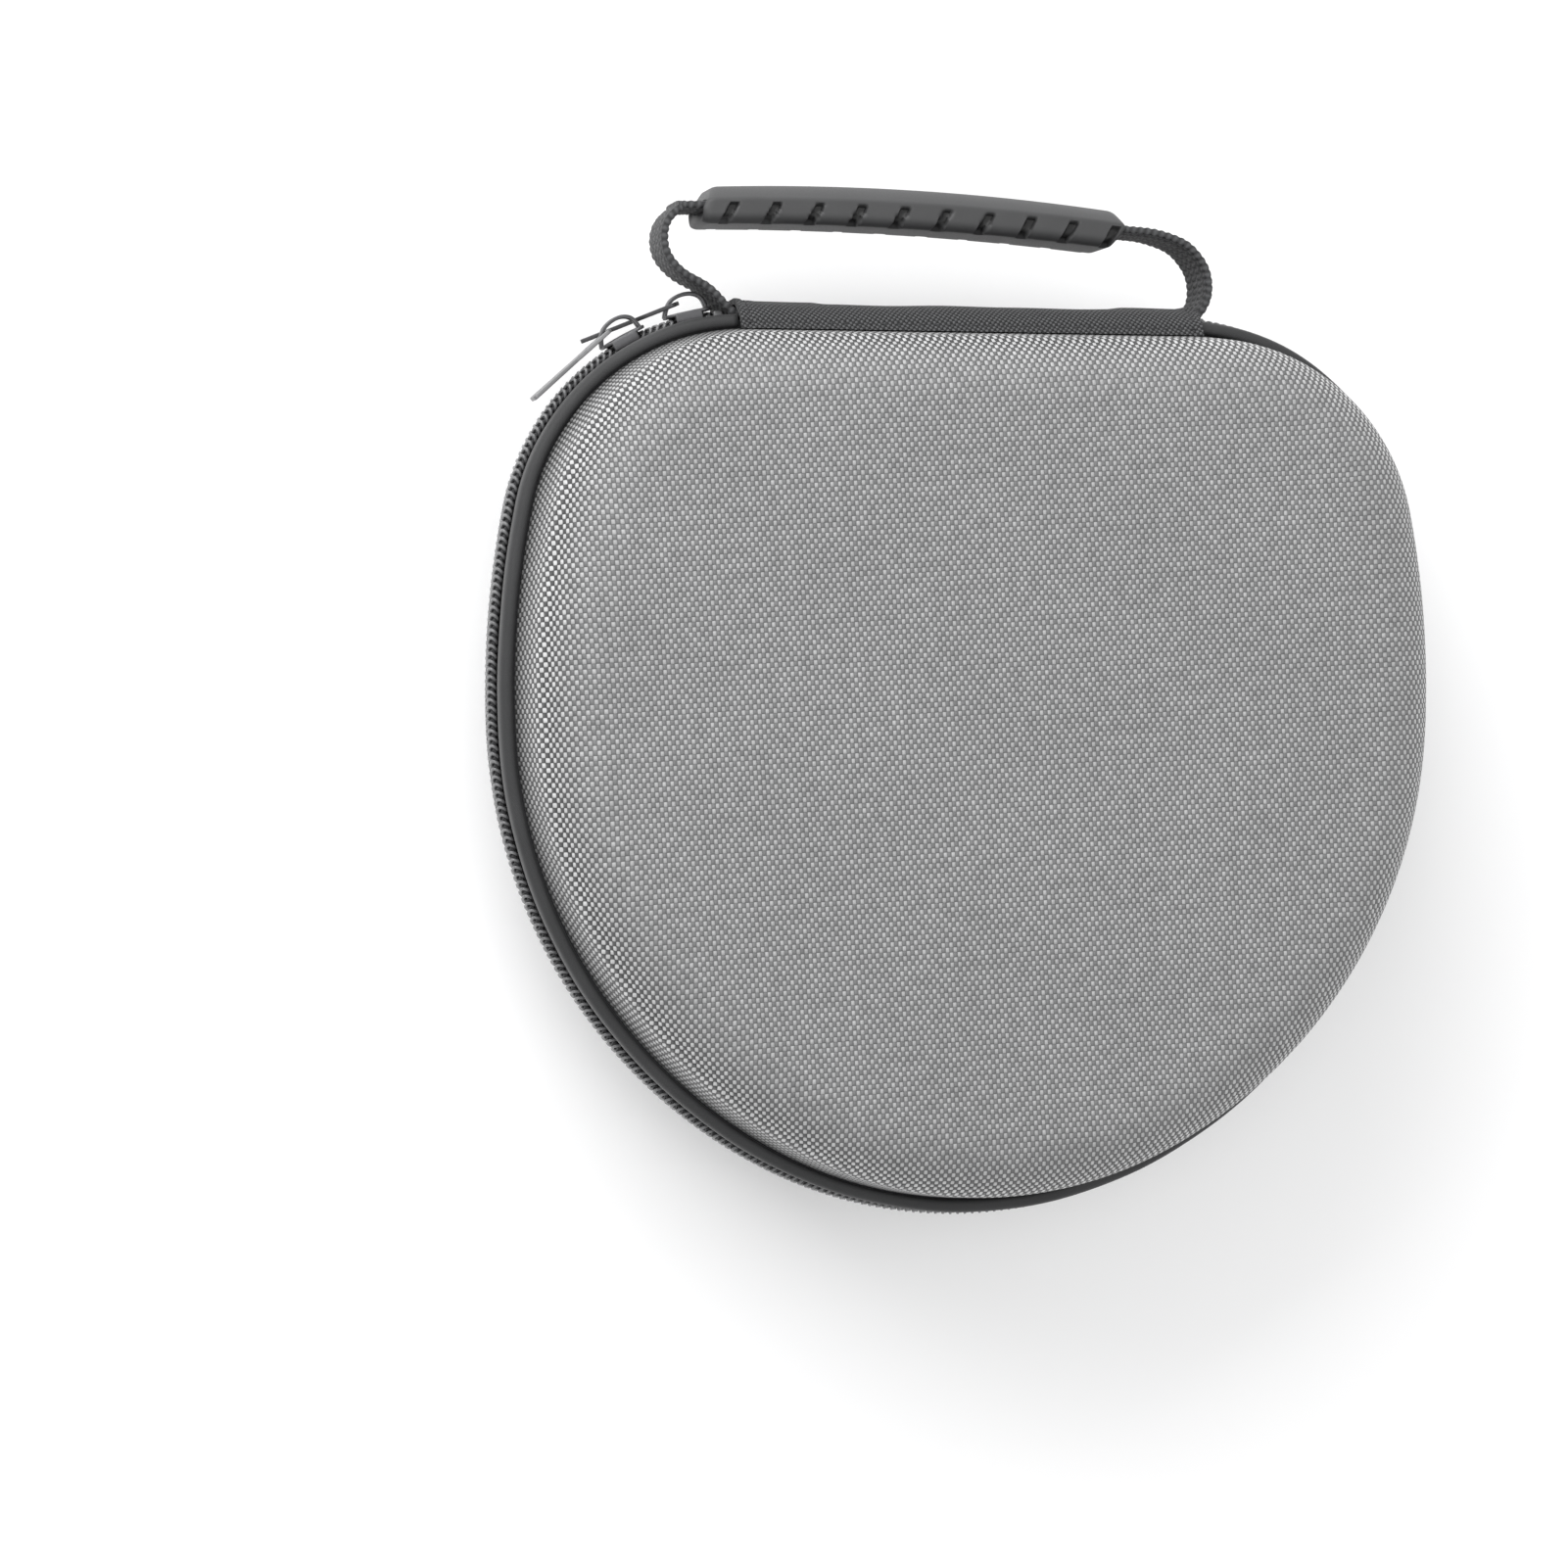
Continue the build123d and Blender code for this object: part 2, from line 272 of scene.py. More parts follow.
# --------------------------------------------------------------------------
# materials
# --------------------------------------------------------------------------
class Mat:
    def __init__(self, name, color=(0.5, 0.5, 0.5), rough=0.6, metallic=0.0, spec=0.5, sheen=0.0, sheen_rough=0.4, coat=0.0):
        self.m = bpy.data.materials.new(name)
        self.m.use_nodes = True
        self.nt = self.m.node_tree
        self.b = next(n for n in self.nt.nodes if n.type == "BSDF_PRINCIPLED")
        self.b.inputs["Base Color"].default_value = (*color, 1)
        self.b.inputs["Roughness"].default_value = rough
        self.b.inputs["Metallic"].default_value = metallic
        self.b.inputs["Specular IOR Level"].default_value = spec
        self.b.inputs["Sheen Weight"].default_value = sheen
        self.b.inputs["Sheen Roughness"].default_value = sheen_rough
        self.b.inputs["Coat Weight"].default_value = coat

    def node(self, kind, **props):
        n = self.nt.nodes.new(kind)
        for k, v in props.items():
            setattr(n, k, v)
        return n

    def _in(self, sock, v):
        if isinstance(v, (int, float)):
            sock.default_value = v
        elif isinstance(v, (tuple, list)):
            sock.default_value = v
        else:
            self.nt.links.new(v, sock)

    def math(self, op, a, b=0.0, c=None, clamp=False):
        n = self.node("ShaderNodeMath", operation=op, use_clamp=clamp)
        self._in(n.inputs[0], a)
        self._in(n.inputs[1], b)
        if c is not None:
            self._in(n.inputs[2], c)
        return n.outputs[0]

    def uv(self, rot=0.0, name="UVMap"):
        n = self.node("ShaderNodeUVMap", uv_map=name)
        mp = self.node("ShaderNodeMapping")
        self.nt.links.new(n.outputs[0], mp.inputs[0])
        mp.inputs["Rotation"].default_value = (0, 0, radians(rot))
        mp.inputs["Scale"].default_value = (1000, 1000, 1000)
        sep = self.node("ShaderNodeSeparateXYZ")
        self.nt.links.new(mp.outputs[0], sep.inputs[0])
        return sep.outputs[0], sep.outputs[1], mp.outputs[0]

    def pos(self, scale=1000.0):
        n = self.node("ShaderNodeTexCoord")
        mp = self.node("ShaderNodeMapping")
        self.nt.links.new(n.outputs["Object"], mp.inputs[0])
        mp.inputs["Scale"].default_value = (scale, scale, scale)
        return mp.outputs[0]

    def attr(self, name):
        n = self.node("ShaderNodeAttribute", attribute_name=name)
        return n.outputs["Fac"]

    def noise(self, vec, scale, detail=2.0, rough=0.5):
        n = self.node("ShaderNodeTexNoise")
        self.nt.links.new(vec, n.inputs["Vector"])
        n.inputs["Scale"].default_value = scale
        n.inputs["Detail"].default_value = detail
        n.inputs["Roughness"].default_value = rough
        return n.outputs["Fac"]

    def ramp(self, fac, *stops):
        n = self.node("ShaderNodeValToRGB")
        el = n.color_ramp.elements
        while len(el) < len(stops):
            el.new(0.5)
        for e, (p, c) in zip(el, stops):
            e.position = p
            e.color = (*c, 1) if len(c) == 3 else c
        self._in(n.inputs[0], fac)
        return n.outputs[0]

    def maprange(self, v, a, b, c, d):
        n = self.node("ShaderNodeMapRange")
        self._in(n.inputs["Value"], v)
        for k, x in zip(("From Min", "From Max", "To Min", "To Max"), (a, b, c, d)):
            self._in(n.inputs[k], x)
        return n.outputs[0]

    def mixc(self, fac, a, b, mode="MIX"):
        n = self.node("ShaderNodeMix", data_type="RGBA", blend_type=mode)
        self._in(n.inputs[0], fac)
        for sock, v in ((n.inputs[6], a), (n.inputs[7], b)):
            if isinstance(v, (tuple, list)):
                sock.default_value = (*v, 1) if len(v) == 3 else v
            else:
                self.nt.links.new(v, sock)
        return n.outputs[2]

    def color(self, c):
        self.nt.links.new(c, self.b.inputs["Base Color"])

    def rough(self, v):
        self.nt.links.new(v, self.b.inputs["Roughness"])

    def bump(self, h, dist_mm, strength=1.0, prev=None):
        n = self.node("ShaderNodeBump")
        n.inputs["Strength"].default_value = strength
        n.inputs["Distance"].default_value = dist_mm * 0.001
        self.nt.links.new(h, n.inputs["Height"])
        if prev is not None:
            self.nt.links.new(prev, n.inputs["Normal"])
        return n.outputs[0]

    def normal(self, n):
        self.nt.links.new(n, self.b.inputs["Normal"])


def plain_weave(M, u, v, pu, pv, soft=1.0):
    """Height, parity and cell coordinates of a plain weave with yarn pitches pu, pv in mm."""
    a = M.math("DIVIDE", u, pu)
    b = M.math("DIVIDE", v, pv)
    fa, fb = M.math("FLOOR", a), M.math("FLOOR", b)
    xa = M.math("SUBTRACT", M.math("SUBTRACT", a, fa), 0.5)
    xb = M.math("SUBTRACT", M.math("SUBTRACT", b, fb), 0.5)
    par = M.math("FLOORED_MODULO", M.math("ADD", fa, fb), 2.0)
    x2 = M.math("MULTIPLY", M.math("MULTIPLY", xa, xa), 4.0)
    y2 = M.math("MULTIPLY", M.math("MULTIPLY", xb, xb), 4.0)

    def bead(across, along):
        c = M.math("SQRT", M.math("MAXIMUM", M.math("SUBTRACT", 1.0, M.math("MULTIPLY", across, 0.97)), 0.0))
        l = M.math("SUBTRACT", 1.0, M.math("MULTIPLY", along, 0.62))
        return M.math("MULTIPLY", c, l)

    h0, h1 = bead(x2, y2), bead(y2, x2)
    n = M.node("ShaderNodeMix", data_type="FLOAT")
    M._in(n.inputs[0], par)
    M._in(n.inputs[2], h0)
    M._in(n.inputs[3], h1)
    return n.outputs[0], par, fa, fb, xa, xb


def fibre(M, vec, amount_mm=0.02, scale=9.0):
    return M.noise(vec, scale, 3.0, 0.6)


def make_cover_mat():
    """Coarse silver-grey ballistic weave, laminated on the shell: light warp floats over darker weft."""
    M = Mat("cover_weave", rough=0.42, spec=0.45, sheen=0.06, sheen_rough=0.45)
    u, v, vec = M.uv(rot=-3.7)
    h, par, fa, fb, xa, xb = plain_weave(M, u, v, 0.912, 1.14)
    wall = M.attr("wall")
    # yarn to yarn variation
    yarn = M.noise(vec, 0.35, 2.0, 0.6)
    big = M.noise(vec, 0.03, 2.0, 0.5)
    foot = M.attr("foot")
    # on the wall (mask 'wall') the floats carry a painted highlight and the weft a painted shade, standing in for the
    # sheen and shade the curved wall catches
    hi_face, hi_wall_painted_sheen = (0.355, 0.356, 0.358), (0.52, 0.522, 0.525)
    lo_face, lo_wall_painted_shade = (0.150, 0.151, 0.153), (0.034, 0.0345, 0.0355)
    hi = M.mixc(wall, hi_face, hi_wall_painted_sheen)
    lo = M.mixc(wall, lo_face, lo_wall_painted_shade)
    col = M.mixc(par, hi, lo)
    # the yarn gaps are darkened: on the face this is the dark ground cloth, on the wall a much darker painted shade
    gap = M.maprange(h, 0.10, 0.62, 0.0, 1.0)
    col = M.mixc(gap, M.mixc(wall, (0.10, 0.101, 0.103), (0.008, 0.008, 0.009)), col)
    var = M.maprange(yarn, 0.3, 0.7, 0.86, 1.12)
    var2 = M.maprange(big, 0.3, 0.7, 0.95, 1.04)
    # painted shade: the cloth is darkened towards the binding, standing in for the shade along it
    vv = M.math("MULTIPLY", M.math("MULTIPLY", var, var2), M.maprange(foot, 0.0, 1.0, 1.0, 0.3))
    comb = M.node("ShaderNodeCombineColor")
    for i in range(3):
        M.nt.links.new(vv, comb.inputs[i])
    col = M.mixc(1.0, col, comb.outputs[0], "MULTIPLY")
    M.color(col)
    M.rough(M.maprange(h, 0.0, 1.0, 0.62, 0.40))
    fine = M.noise(vec, 6.0, 2.0, 0.6)
    n1 = M.bump(fine, 0.03, 0.5)
    M.normal(M.bump(h, 0.26, 1.0, n1))
    return M.m


def make_twill(name, c_hi, c_lo, pitch=0.55, rough=0.75, bump=0.12, rot=35.0, sheen=0.06, spec=0.3, fuzz=0.5):
    M = Mat(name, rough=rough, spec=spec, sheen=sheen, sheen_rough=0.5)
    u, v, vec = M.uv(rot=rot)
    a = M.math("SINE", M.math("MULTIPLY", u, 2 * pi / pitch))
    b = M.math("SINE", M.math("MULTIPLY", v, 2 * pi / (pitch * 2.2)))
    h = M.maprange(M.math("ADD", a, M.math("MULTIPLY", b, 0.45)), -1.45, 1.45, 0.0, 1.0)
    f = M.noise(vec, 3.2, 3.0, 0.65)
    big = M.noise(vec, 0.12, 2.0, 0.5)
    t = M.maprange(M.math("ADD", M.math("MULTIPLY", h, 1.0 - fuzz), M.math("MULTIPLY", f, fuzz)), 0.15, 0.85, 0.0, 1.0)
    col = M.mixc(t, c_lo, c_hi)
    k = M.maprange(big, 0.3, 0.7, 0.85, 1.12)
    comb = M.node("ShaderNodeCombineColor")
    for i in range(3):
        M.nt.links.new(k, comb.inputs[i])
    M.color(M.mixc(1.0, col, comb.outputs[0], "MULTIPLY"))
    n1 = M.bump(f, 0.05, 0.6)
    M.normal(M.bump(h, bump, 1.0, n1))
    return M.m


def make_hinge_mat():
    """Woven small dot fabric of the hinge panel."""
    M = Mat("hinge_weave", rough=0.7, spec=0.3, sheen=0.06, sheen_rough=0.5)
    u, v, vec = M.uv(rot=9.0)
    h, par, fa, fb, xa, xb = plain_weave(M, u, v, 0.66, 0.66)
    col = M.mixc(par, (0.088, 0.089, 0.092), (0.012, 0.0122, 0.013))
    gap = M.maprange(h, 0.1, 0.6, 0.0, 1.0)
    col = M.mixc(gap, (0.008, 0.008, 0.009), col)
    f = M.noise(vec, 1.4, 3.0, 0.65)
    k = M.maprange(f, 0.3, 0.7, 0.7, 1.3)
    comb = M.node("ShaderNodeCombineColor")
    for i in range(3):
        M.nt.links.new(k, comb.inputs[i])
    M.color(M.mixc(1.0, col, comb.outputs[0], "MULTIPLY"))
    fine = M.noise(vec, 5.0, 2.0, 0.6)
    n1 = M.bump(fine, 0.03, 0.5)
    M.normal(M.bump(h, 0.14, 1.0, n1))
    return M.m


def make_binding_mat():
    """Smooth knitted binding tape, dark grey, with a fine grain along it."""
    M = Mat("binding_tape", rough=0.6, spec=0.35, sheen=0.08, sheen_rough=0.35)
    u, v, vec = M.uv()
    a = M.math("SINE", M.math("MULTIPLY", u, 2 * pi / 0.62))
    b = M.math("SINE", M.math("MULTIPLY", v, 2 * pi / 0.45))
    h = M.maprange(M.math("MULTIPLY", a, b), -1.0, 1.0, 0.0, 1.0)
    f = M.noise(vec, 2.5, 3.0, 0.6)
    big = M.noise(vec, 0.07, 2.0, 0.5)
    t = M.maprange(M.math("ADD", M.math("MULTIPLY", h, 0.35), M.math("MULTIPLY", f, 0.65)), 0.2, 0.8, 0.0, 1.0)
    col = M.mixc(t, (0.0245, 0.0248, 0.0255), (0.041, 0.0415, 0.043))
    k = M.maprange(big, 0.3, 0.7, 0.88, 1.1)
    comb = M.node("ShaderNodeCombineColor")
    for i in range(3):
        M.nt.links.new(k, comb.inputs[i])
    M.color(M.mixc(1.0, col, comb.outputs[0], "MULTIPLY"))
    n1 = M.bump(f, 0.03, 0.5)
    M.normal(M.bump(h, 0.035, 0.8, n1))
    return M.m


def make_webbing_mat():
    """Narrow woven webbing: transverse ribs with a herringbone run along the strap."""
    M = Mat("webbing", rough=0.68, spec=0.35, sheen=0.08, sheen_rough=0.4)
    u, v, vec = M.uv()
    zig = M.math("PINGPONG", v, 2.0)
    a = M.math("SINE", M.math("MULTIPLY", M.math("ADD", u, M.math("MULTIPLY", zig, 0.45)), 2 * pi / 1.75))
    b = M.math("SINE", M.math("MULTIPLY", v, 2 * pi / 0.8))
    h = M.maprange(M.math("ADD", a, M.math("MULTIPLY", b, 0.35)), -1.35, 1.35, 0.0, 1.0)
    f = M.noise(vec, 3.0, 3.0, 0.6)
    big = M.noise(vec, 0.1, 2.0, 0.5)
    t = M.maprange(M.math("ADD", M.math("MULTIPLY", h, 0.6), M.math("MULTIPLY", f, 0.4)), 0.2, 0.8, 0.0, 1.0)
    col = M.mixc(t, (0.012, 0.012, 0.013), (0.072, 0.073, 0.076))
    k = M.maprange(big, 0.3, 0.7, 0.85, 1.15)
    comb = M.node("ShaderNodeCombineColor")
    for i in range(3):
        M.nt.links.new(k, comb.inputs[i])
    M.color(M.mixc(1.0, col, comb.outputs[0], "MULTIPLY"))
    n1 = M.bump(f, 0.04, 0.5)
    M.normal(M.bump(h, 0.16, 1.0, n1))
    return M.m


def make_rubber_mat(name="grip_rubber", c=(0.046, 0.0463, 0.0475), rough=0.5, groove=False):
    M = Mat(name, rough=rough, spec=0.45)
    vec = M.pos()
    f = M.noise(vec, 3.5, 3.0, 0.6)
    g = M.noise(vec, 0.12, 2.0, 0.5)
    col = M.mixc(g, tuple(x * 0.85 for x in c), tuple(x * 1.12 for x in c))
    if groove:
        # the slots are darkened, partly for dirt and partly as painted shade in them
        col = M.mixc(M.attr("groove"), col, tuple(x * 0.16 for x in c))
        # painted highlight: the top of the grip is lightened, as is a thin line along the lower edge towards the left
        # end
        col = M.mixc(M.math("MULTIPLY", M.attr("top_highlight_and_line"), 0.75), col, tuple(x * 1.75 for x in c))
    M.color(col)
    M.rough(M.maprange(f, 0.3, 0.7, rough - 0.06, rough + 0.1))
    M.normal(M.bump(f, 0.03, 0.5))
    return M.m


def make_metal(name, c, rough=0.34, metallic=0.85, edge_lift=0.5):
    M = Mat(name, rough=rough, metallic=metallic, spec=0.5)
    vec = M.pos()
    f = M.noise(vec, 1.2, 4.0, 0.6)
    s = M.noise(vec, 0.25, 2.0, 0.5)
    col = M.mixc(s, tuple(x * 0.8 for x in c), tuple(min(1, x * 1.25) for x in c))
    edge = M.attr("edge")
    # the bevelled edges are lightened towards a paler copy of the colour
    col = M.mixc(M.math("MULTIPLY", edge, edge_lift), col, tuple(min(1, x * 2.0 + 0.05) for x in c))
    M.color(col)
    M.rough(M.maprange(f, 0.3, 0.7, rough - 0.08, rough + 0.14))
    M.normal(M.bump(f, 0.01, 0.4))
    return M.m


def make_coil_mat():
    M = Mat("zip_coil_nylon", rough=0.32, spec=0.5, coat=0.1)
    vec = M.pos()
    f = M.noise(vec, 0.9, 3.0, 0.6)
    M.color(M.mixc(f, (0.075, 0.0755, 0.078), (0.27, 0.272, 0.277)))
    M.rough(M.maprange(f, 0.3, 0.7, 0.24, 0.42))
    M.normal(M.bump(M.noise(vec, 4.0, 2.0, 0.5), 0.01, 0.4))
    return M.m


def make_lining_mat():
    """Brushed tricot lining: short nap, matt, slightly mottled."""
    M = Mat("lining_tricot", rough=0.9, spec=0.2, sheen=0.6, sheen_rough=0.35)
    u, v, vec = M.uv()
    f = M.noise(vec, 2.2, 4.0, 0.7)
    g = M.noise(vec, 0.08, 3.0, 0.6)
    t = M.math("ADD", M.math("MULTIPLY", f, 0.6), M.math("MULTIPLY", g, 0.4))
    M.color(M.ramp(t, (0.3, (0.028, 0.028, 0.031)), (0.7, (0.062, 0.062, 0.067))))
    M.normal(M.bump(f, 0.09, 0.8))
    return M.m


def make_foam_mat():
    M = Mat("moulded_foam", rough=0.85, spec=0.25)
    vec = M.pos()
    f = M.noise(vec, 1.6, 4.0, 0.65)
    M.color(M.mixc(f, (0.022, 0.022, 0.024), (0.05, 0.05, 0.053)))
    M.normal(M.bump(f, 0.08, 0.7))
    return M.m


def make_net_mat():
    """Warp-knit mesh: a hexagonal net of fine dark yarn, drawn as a dense knit."""
    M = Mat("pocket_net", rough=0.7, spec=0.4, sheen=0.3)
    u, v, vec = M.uv()
    vo = M.node("ShaderNodeTexVoronoi")
    vo.feature = "DISTANCE_TO_EDGE"
    M.nt.links.new(vec, vo.inputs["Vector"])
    vo.inputs["Scale"].default_value = 0.55
    vo.inputs["Randomness"].default_value = 0.0
    d = vo.outputs["Distance"]
    t = M.maprange(d, 0.08, 0.2, 0.0, 1.0)
    M.color(M.mixc(t, (0.085, 0.085, 0.09), (0.012, 0.012, 0.013)))
    M.normal(M.bump(M.math("SUBTRACT", 1.0, t), 0.3, 1.0))
    return M.m


MAT = {
    "cover": make_cover_mat(),
    "binding": make_binding_mat(),
    "hinge": make_hinge_mat(),
    "tape": make_twill("zip_tape_twill", (0.03, 0.03, 0.032), (0.009, 0.009, 0.01), pitch=0.7, rough=0.8, rot=40),
    "coil": make_coil_mat(),
    "webbing": make_webbing_mat(),
    "grip": make_rubber_mat(groove=True),
    "lining": make_lining_mat(),
    "foam": make_foam_mat(),
    "net": make_net_mat(),
    "elastic": make_twill("pocket_elastic", (0.05, 0.05, 0.054), (0.016, 0.016, 0.018), pitch=0.9, rough=0.75, rot=0),
    "metal": make_metal("zip_metal", (0.055, 0.055, 0.058), 0.34, 0.7),
    "pull_dark": make_metal("pull_metal_dark", (0.035, 0.035, 0.037), 0.38, 0.65),
    "pull_light": make_metal("pull_metal_light", (0.15, 0.151, 0.154), 0.36, 0.6, 0.35),
    "thread": make_twill("thread", (0.06, 0.06, 0.064), (0.02, 0.02, 0.022), pitch=0.25, rough=0.6, rot=30),
}
MAT["thread"] = make_rubber_mat("sewing_thread", (0.03, 0.03, 0.032), 0.7)
MAT["thread_light"] = make_rubber_mat("sewing_thread_light", (0.11, 0.111, 0.115), 0.65)


# --------------------------------------------------------------------------
# covers and linings: moulded domes
# --------------------------------------------------------------------------
def dome_profile(d, w0, n_wall=7, n_fil=14):
    """(r, w) from the rim to the flat face, for the surface lying d inside the cover's outside."""
    a0 = radians(6.0)
    rho = FACE_R - d
    wc = MID - FACE_R
    rc = -d - DRAFT * (wc - 11.5) - rho / cos(a0)
    p = []
    wt = wc + rho * sin(a0)
    ws = [w0] if w0 >= 11.5 else [w0, (w0 + 11.5) / 2, 11.5]
    for w in ws:
        p.append((-d - DRAFT * max(0.0, w - 11.5), w))
    lo = ws[-1]
    for k in range(1, n_wall):
        w = lo + (wt - lo) * k / n_wall
        p.append((-d - DRAFT * (w - 11.5), w))
    for k in range(n_fil + 1):
        a = a0 + (pi / 2 - a0) * k / n_fil
        p.append((rc + rho * cos(a), wc + rho * sin(a)))
    return p


def dome_surface(half, d, w0, st, rings, mat_uv=0.88, dish=0.0):
    prof = np.array(dome_profile(d, w0))
    nu, nv = len(st), len(prof)
    v = np.zeros((nu, nv + rings, 3))
    uv = np.zeros((nu, nv + rings, 2))
    wall = np.zeros((nu, nv + rings))
    for j, (r, w) in enumerate(prof):
        v[:, j, 0:2] = pts(st, r)
        v[:, j, 2] = MID + half * w
    edge = pts(st, prof[-1][0])
    back = np.concatenate([[0], np.cumsum(np.linalg.norm(np.diff(prof[::-1], axis=0), axis=1))])[::-1]
    for j in range(nv):
        # the wall's cloth is drawn down more than the face's, so its weave is longer there
        b0 = min(back[j], 17.0)
        uv[:, j] = edge + st[:, 3:5] * (b0 * mat_uv + (back[j] - b0) * 0.46)
        # wall is 1 on the wall and fades to 0 across the fillet; it carries the cover's painted highlight and painted
        # shade
        a = (prof[j][1] - (MID - FACE_R)) / (FACE_R - d)
        wall[:, j] = 1.0 - min(1.0, max(0.0, (a - 0.50) / 0.44)) if a > 0 else 1.0
    c = np.array([0.0, 2.0])
    for k in range(rings):
        t = (k + 1) / (rings + 1)
        p = c + (edge - c) * (1 - t)
        v[:, nv + k, 0:2] = p
        v[:, nv + k, 2] = MID + half * (prof[-1][1] - dish * sin(pi / 2 * t) ** 2)
        uv[:, nv + k] = p
    centre = (0.0, c[1], MID + half * (prof[-1][1] - dish))
    return v, uv, wall, centre, (c[0], c[1])


def dome_piece(name, half, d0, d1, w0, mat, step=2.0, rings=10, uv_scale=0.88):
    """Closed shell between the surfaces at depths d0 (outside) and d1 (inside)."""
    st = loop_stations(step, True)
    vo, uo, wo, co, cuo = dome_surface(half, d0, w0, st, rings, uv_scale)
    vi, ui, wi, ci, cui = dome_surface(half, d1, w0, st, rings, uv_scale)
    nu, nv = vo.shape[0], vo.shape[1]
    verts = np.concatenate([vo.reshape(-1, 3), vi.reshape(-1, 3), [co], [ci]])
    uvs = np.concatenate([uo.reshape(-1, 2), ui.reshape(-1, 2), [cuo], [cui]])
    wall = np.concatenate([wo.ravel(), wi.ravel(), [0, 0]])
    n = nu * nv
    out = grid_faces(nu, nv, True, False, flip=False)
    inn = [tuple(i + n for i in q[::-1]) for q in out]
    rim = []
    for i in range(nu):
        i2 = (i + 1) % nu
        rim.append((i * nv, n + i * nv, n + i2 * nv, i2 * nv))
        out.append((i * nv + nv - 1, i2 * nv + nv - 1, 2 * n))
        inn.append((n + i2 * nv + nv - 1, n + i * nv + nv - 1, 2 * n + 1))
    faces = out + inn + rim
    # stations run clockwise seen from the front, so the front dome's quads face inward as listed
    if half > 0:
        faces = [q[::-1] for q in faces]
    # foot is 1 near the rim and fades towards the face; it carries the cover's painted shade by the binding
    foot = np.clip(1.0 - (np.abs(verts[:, 2] - MID) - 12.0) / 18.0, 0.0, 1.0)
    return new_object(name, verts, faces, uvs, {"wall": wall, "foot": foot}, mat=mat, sharp=50)


def finish_piece(ob, body, slot, *nodes):
    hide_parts(*nodes)
    if body is not None:
        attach(ob, body)
    return ob


def fix_normals(ob):
    import bmesh
    bm = bmesh.new()
    bm.from_mesh(ob.data)
    bmesh.ops.recalc_face_normals(bm, faces=bm.faces[:])
    bm.to_mesh(ob.data)
    bm.free()
    ob.data.update()
    return ob


PIECES = {}
for key, half, body in (("front", 1, "lid"), ("rear", -1, "rear")):
    c = fix_normals(dome_piece(key + "_cover_fabric", half, 0.0, 0.8, 11.5, MAT["cover"]))
    finish_piece(c, body, "shell_cover", key + "_cover")
    l = fix_normals(dome_piece(key + "_lining_cloth", half, 4.0, 4.8, 7.0, MAT["lining"], step=3.0, rings=8))
    finish_piece(l, body, "lining", key + "_lining")
    for nd in (key + "_shell",):
        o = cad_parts[nd]
        o.data.materials.clear()
        o.data.materials.append(MAT["foam"])

# --------------------------------------------------------------------------
# binding, zip tape, teeth and end stops
# --------------------------------------------------------------------------
END_DEG = math.degrees(math.asin((55.75 - FLAT) / (56.5 - RIM + 3.0)))
OPEN = loop_stations(1.0, False, END_DEG)
OPEN_S = arc_length(OPEN, 3.65, False)
L_OPEN = OPEN_S[-1]


def binding_wobble(half):
    s = OPEN_S
    n1 = 0.05 * np.sin(s / 9.3 + 1.0) + 0.04 * np.sin(s / 4.1 + 2.0 * half)
    crease = np.zeros(len(s))
    for end, sign in ((L_OPEN, -1), (0.0, 1)):
        dd = np.abs(s - end)
        crease += np.where(dd < 16, np.cos(dd / 16 * pi / 2) ** 2, 0) * np.sin(2 * pi * dd / 2.6)

    def f(j):
        lag = 0.55 * j
        c = np.interp(s + lag, s, crease)
        outer = 1.0 if 1 <= j <= 13 else 0.0
        return outer * (n1 * 0.8 + 0.10 * c), (0.12 * c + n1 * 0.6) * (1.0 if 7 <= j <= 13 else 0.0) * 1.0
    return f


BIND_PROFILE = [(2.52, 7.05), (2.85, 6.95), (3.2, 7.05), (3.42, 7.5), (3.5, 8.4), (3.54, 9.5), (3.5, 10.6), (3.38, 11.5), (3.12, 12.15), (2.7, 12.58), (2.1, 12.82), (1.4, 12.88),
                (0.9, 12.78), (0.55, 12.55), (0.38, 12.2), (0.3, 11.56), (1.2, 11.53), (2.52, 11.5)]
for key, half, body in (("front", 1, "lid"), ("rear", -1, "rear")):
    b = fix_normals(loft(key + "_binding_tape", OPEN, BIND_PROFILE, False, True, half, MAT["binding"], wobble=binding_wobble(half)))
    finish_piece(b, body, "binding", key + "_binding")
    tp = [(1.92, 0.8), (2.1, 0.74), (2.42, 0.76), (2.5, 0.95), (2.48, 4.0), (2.5, 7.0), (2.5, 11.3), (2.4, 11.48), (1.98, 11.48), (1.9, 11.2), (1.92, 6.0), (1.9, 2.0)]
    t = fix_normals(loft(key + "_zip_tape_band", OPEN[::2] if len(OPEN) % 2 else OPEN, tp, False, True, half, MAT["tape"]))
    finish_piece(t, body, "zip_tape", key + "_zip_tape")

PITCH = 1.78


def chain_frame(s, r):
    """Plan position and normal at length s along the chain line."""
    ox = np.interp(s, OPEN_S, OPEN[:, 0])
    base = np.array([OPEN[:, 0] + (OPEN[:, 2] + r) * OPEN[:, 3], OPEN[:, 1] + (OPEN[:, 2] + r) * OPEN[:, 4]])
    x = np.interp(s, OPEN_S, base[0])
    y = np.interp(s, OPEN_S, base[1])
    nx = np.interp(s, OPEN_S, OPEN[:, 3])
    ny = np.interp(s, OPEN_S, OPEN[:, 4])
    ln = np.hypot(nx, ny)
    return x, y, nx / ln, ny / ln


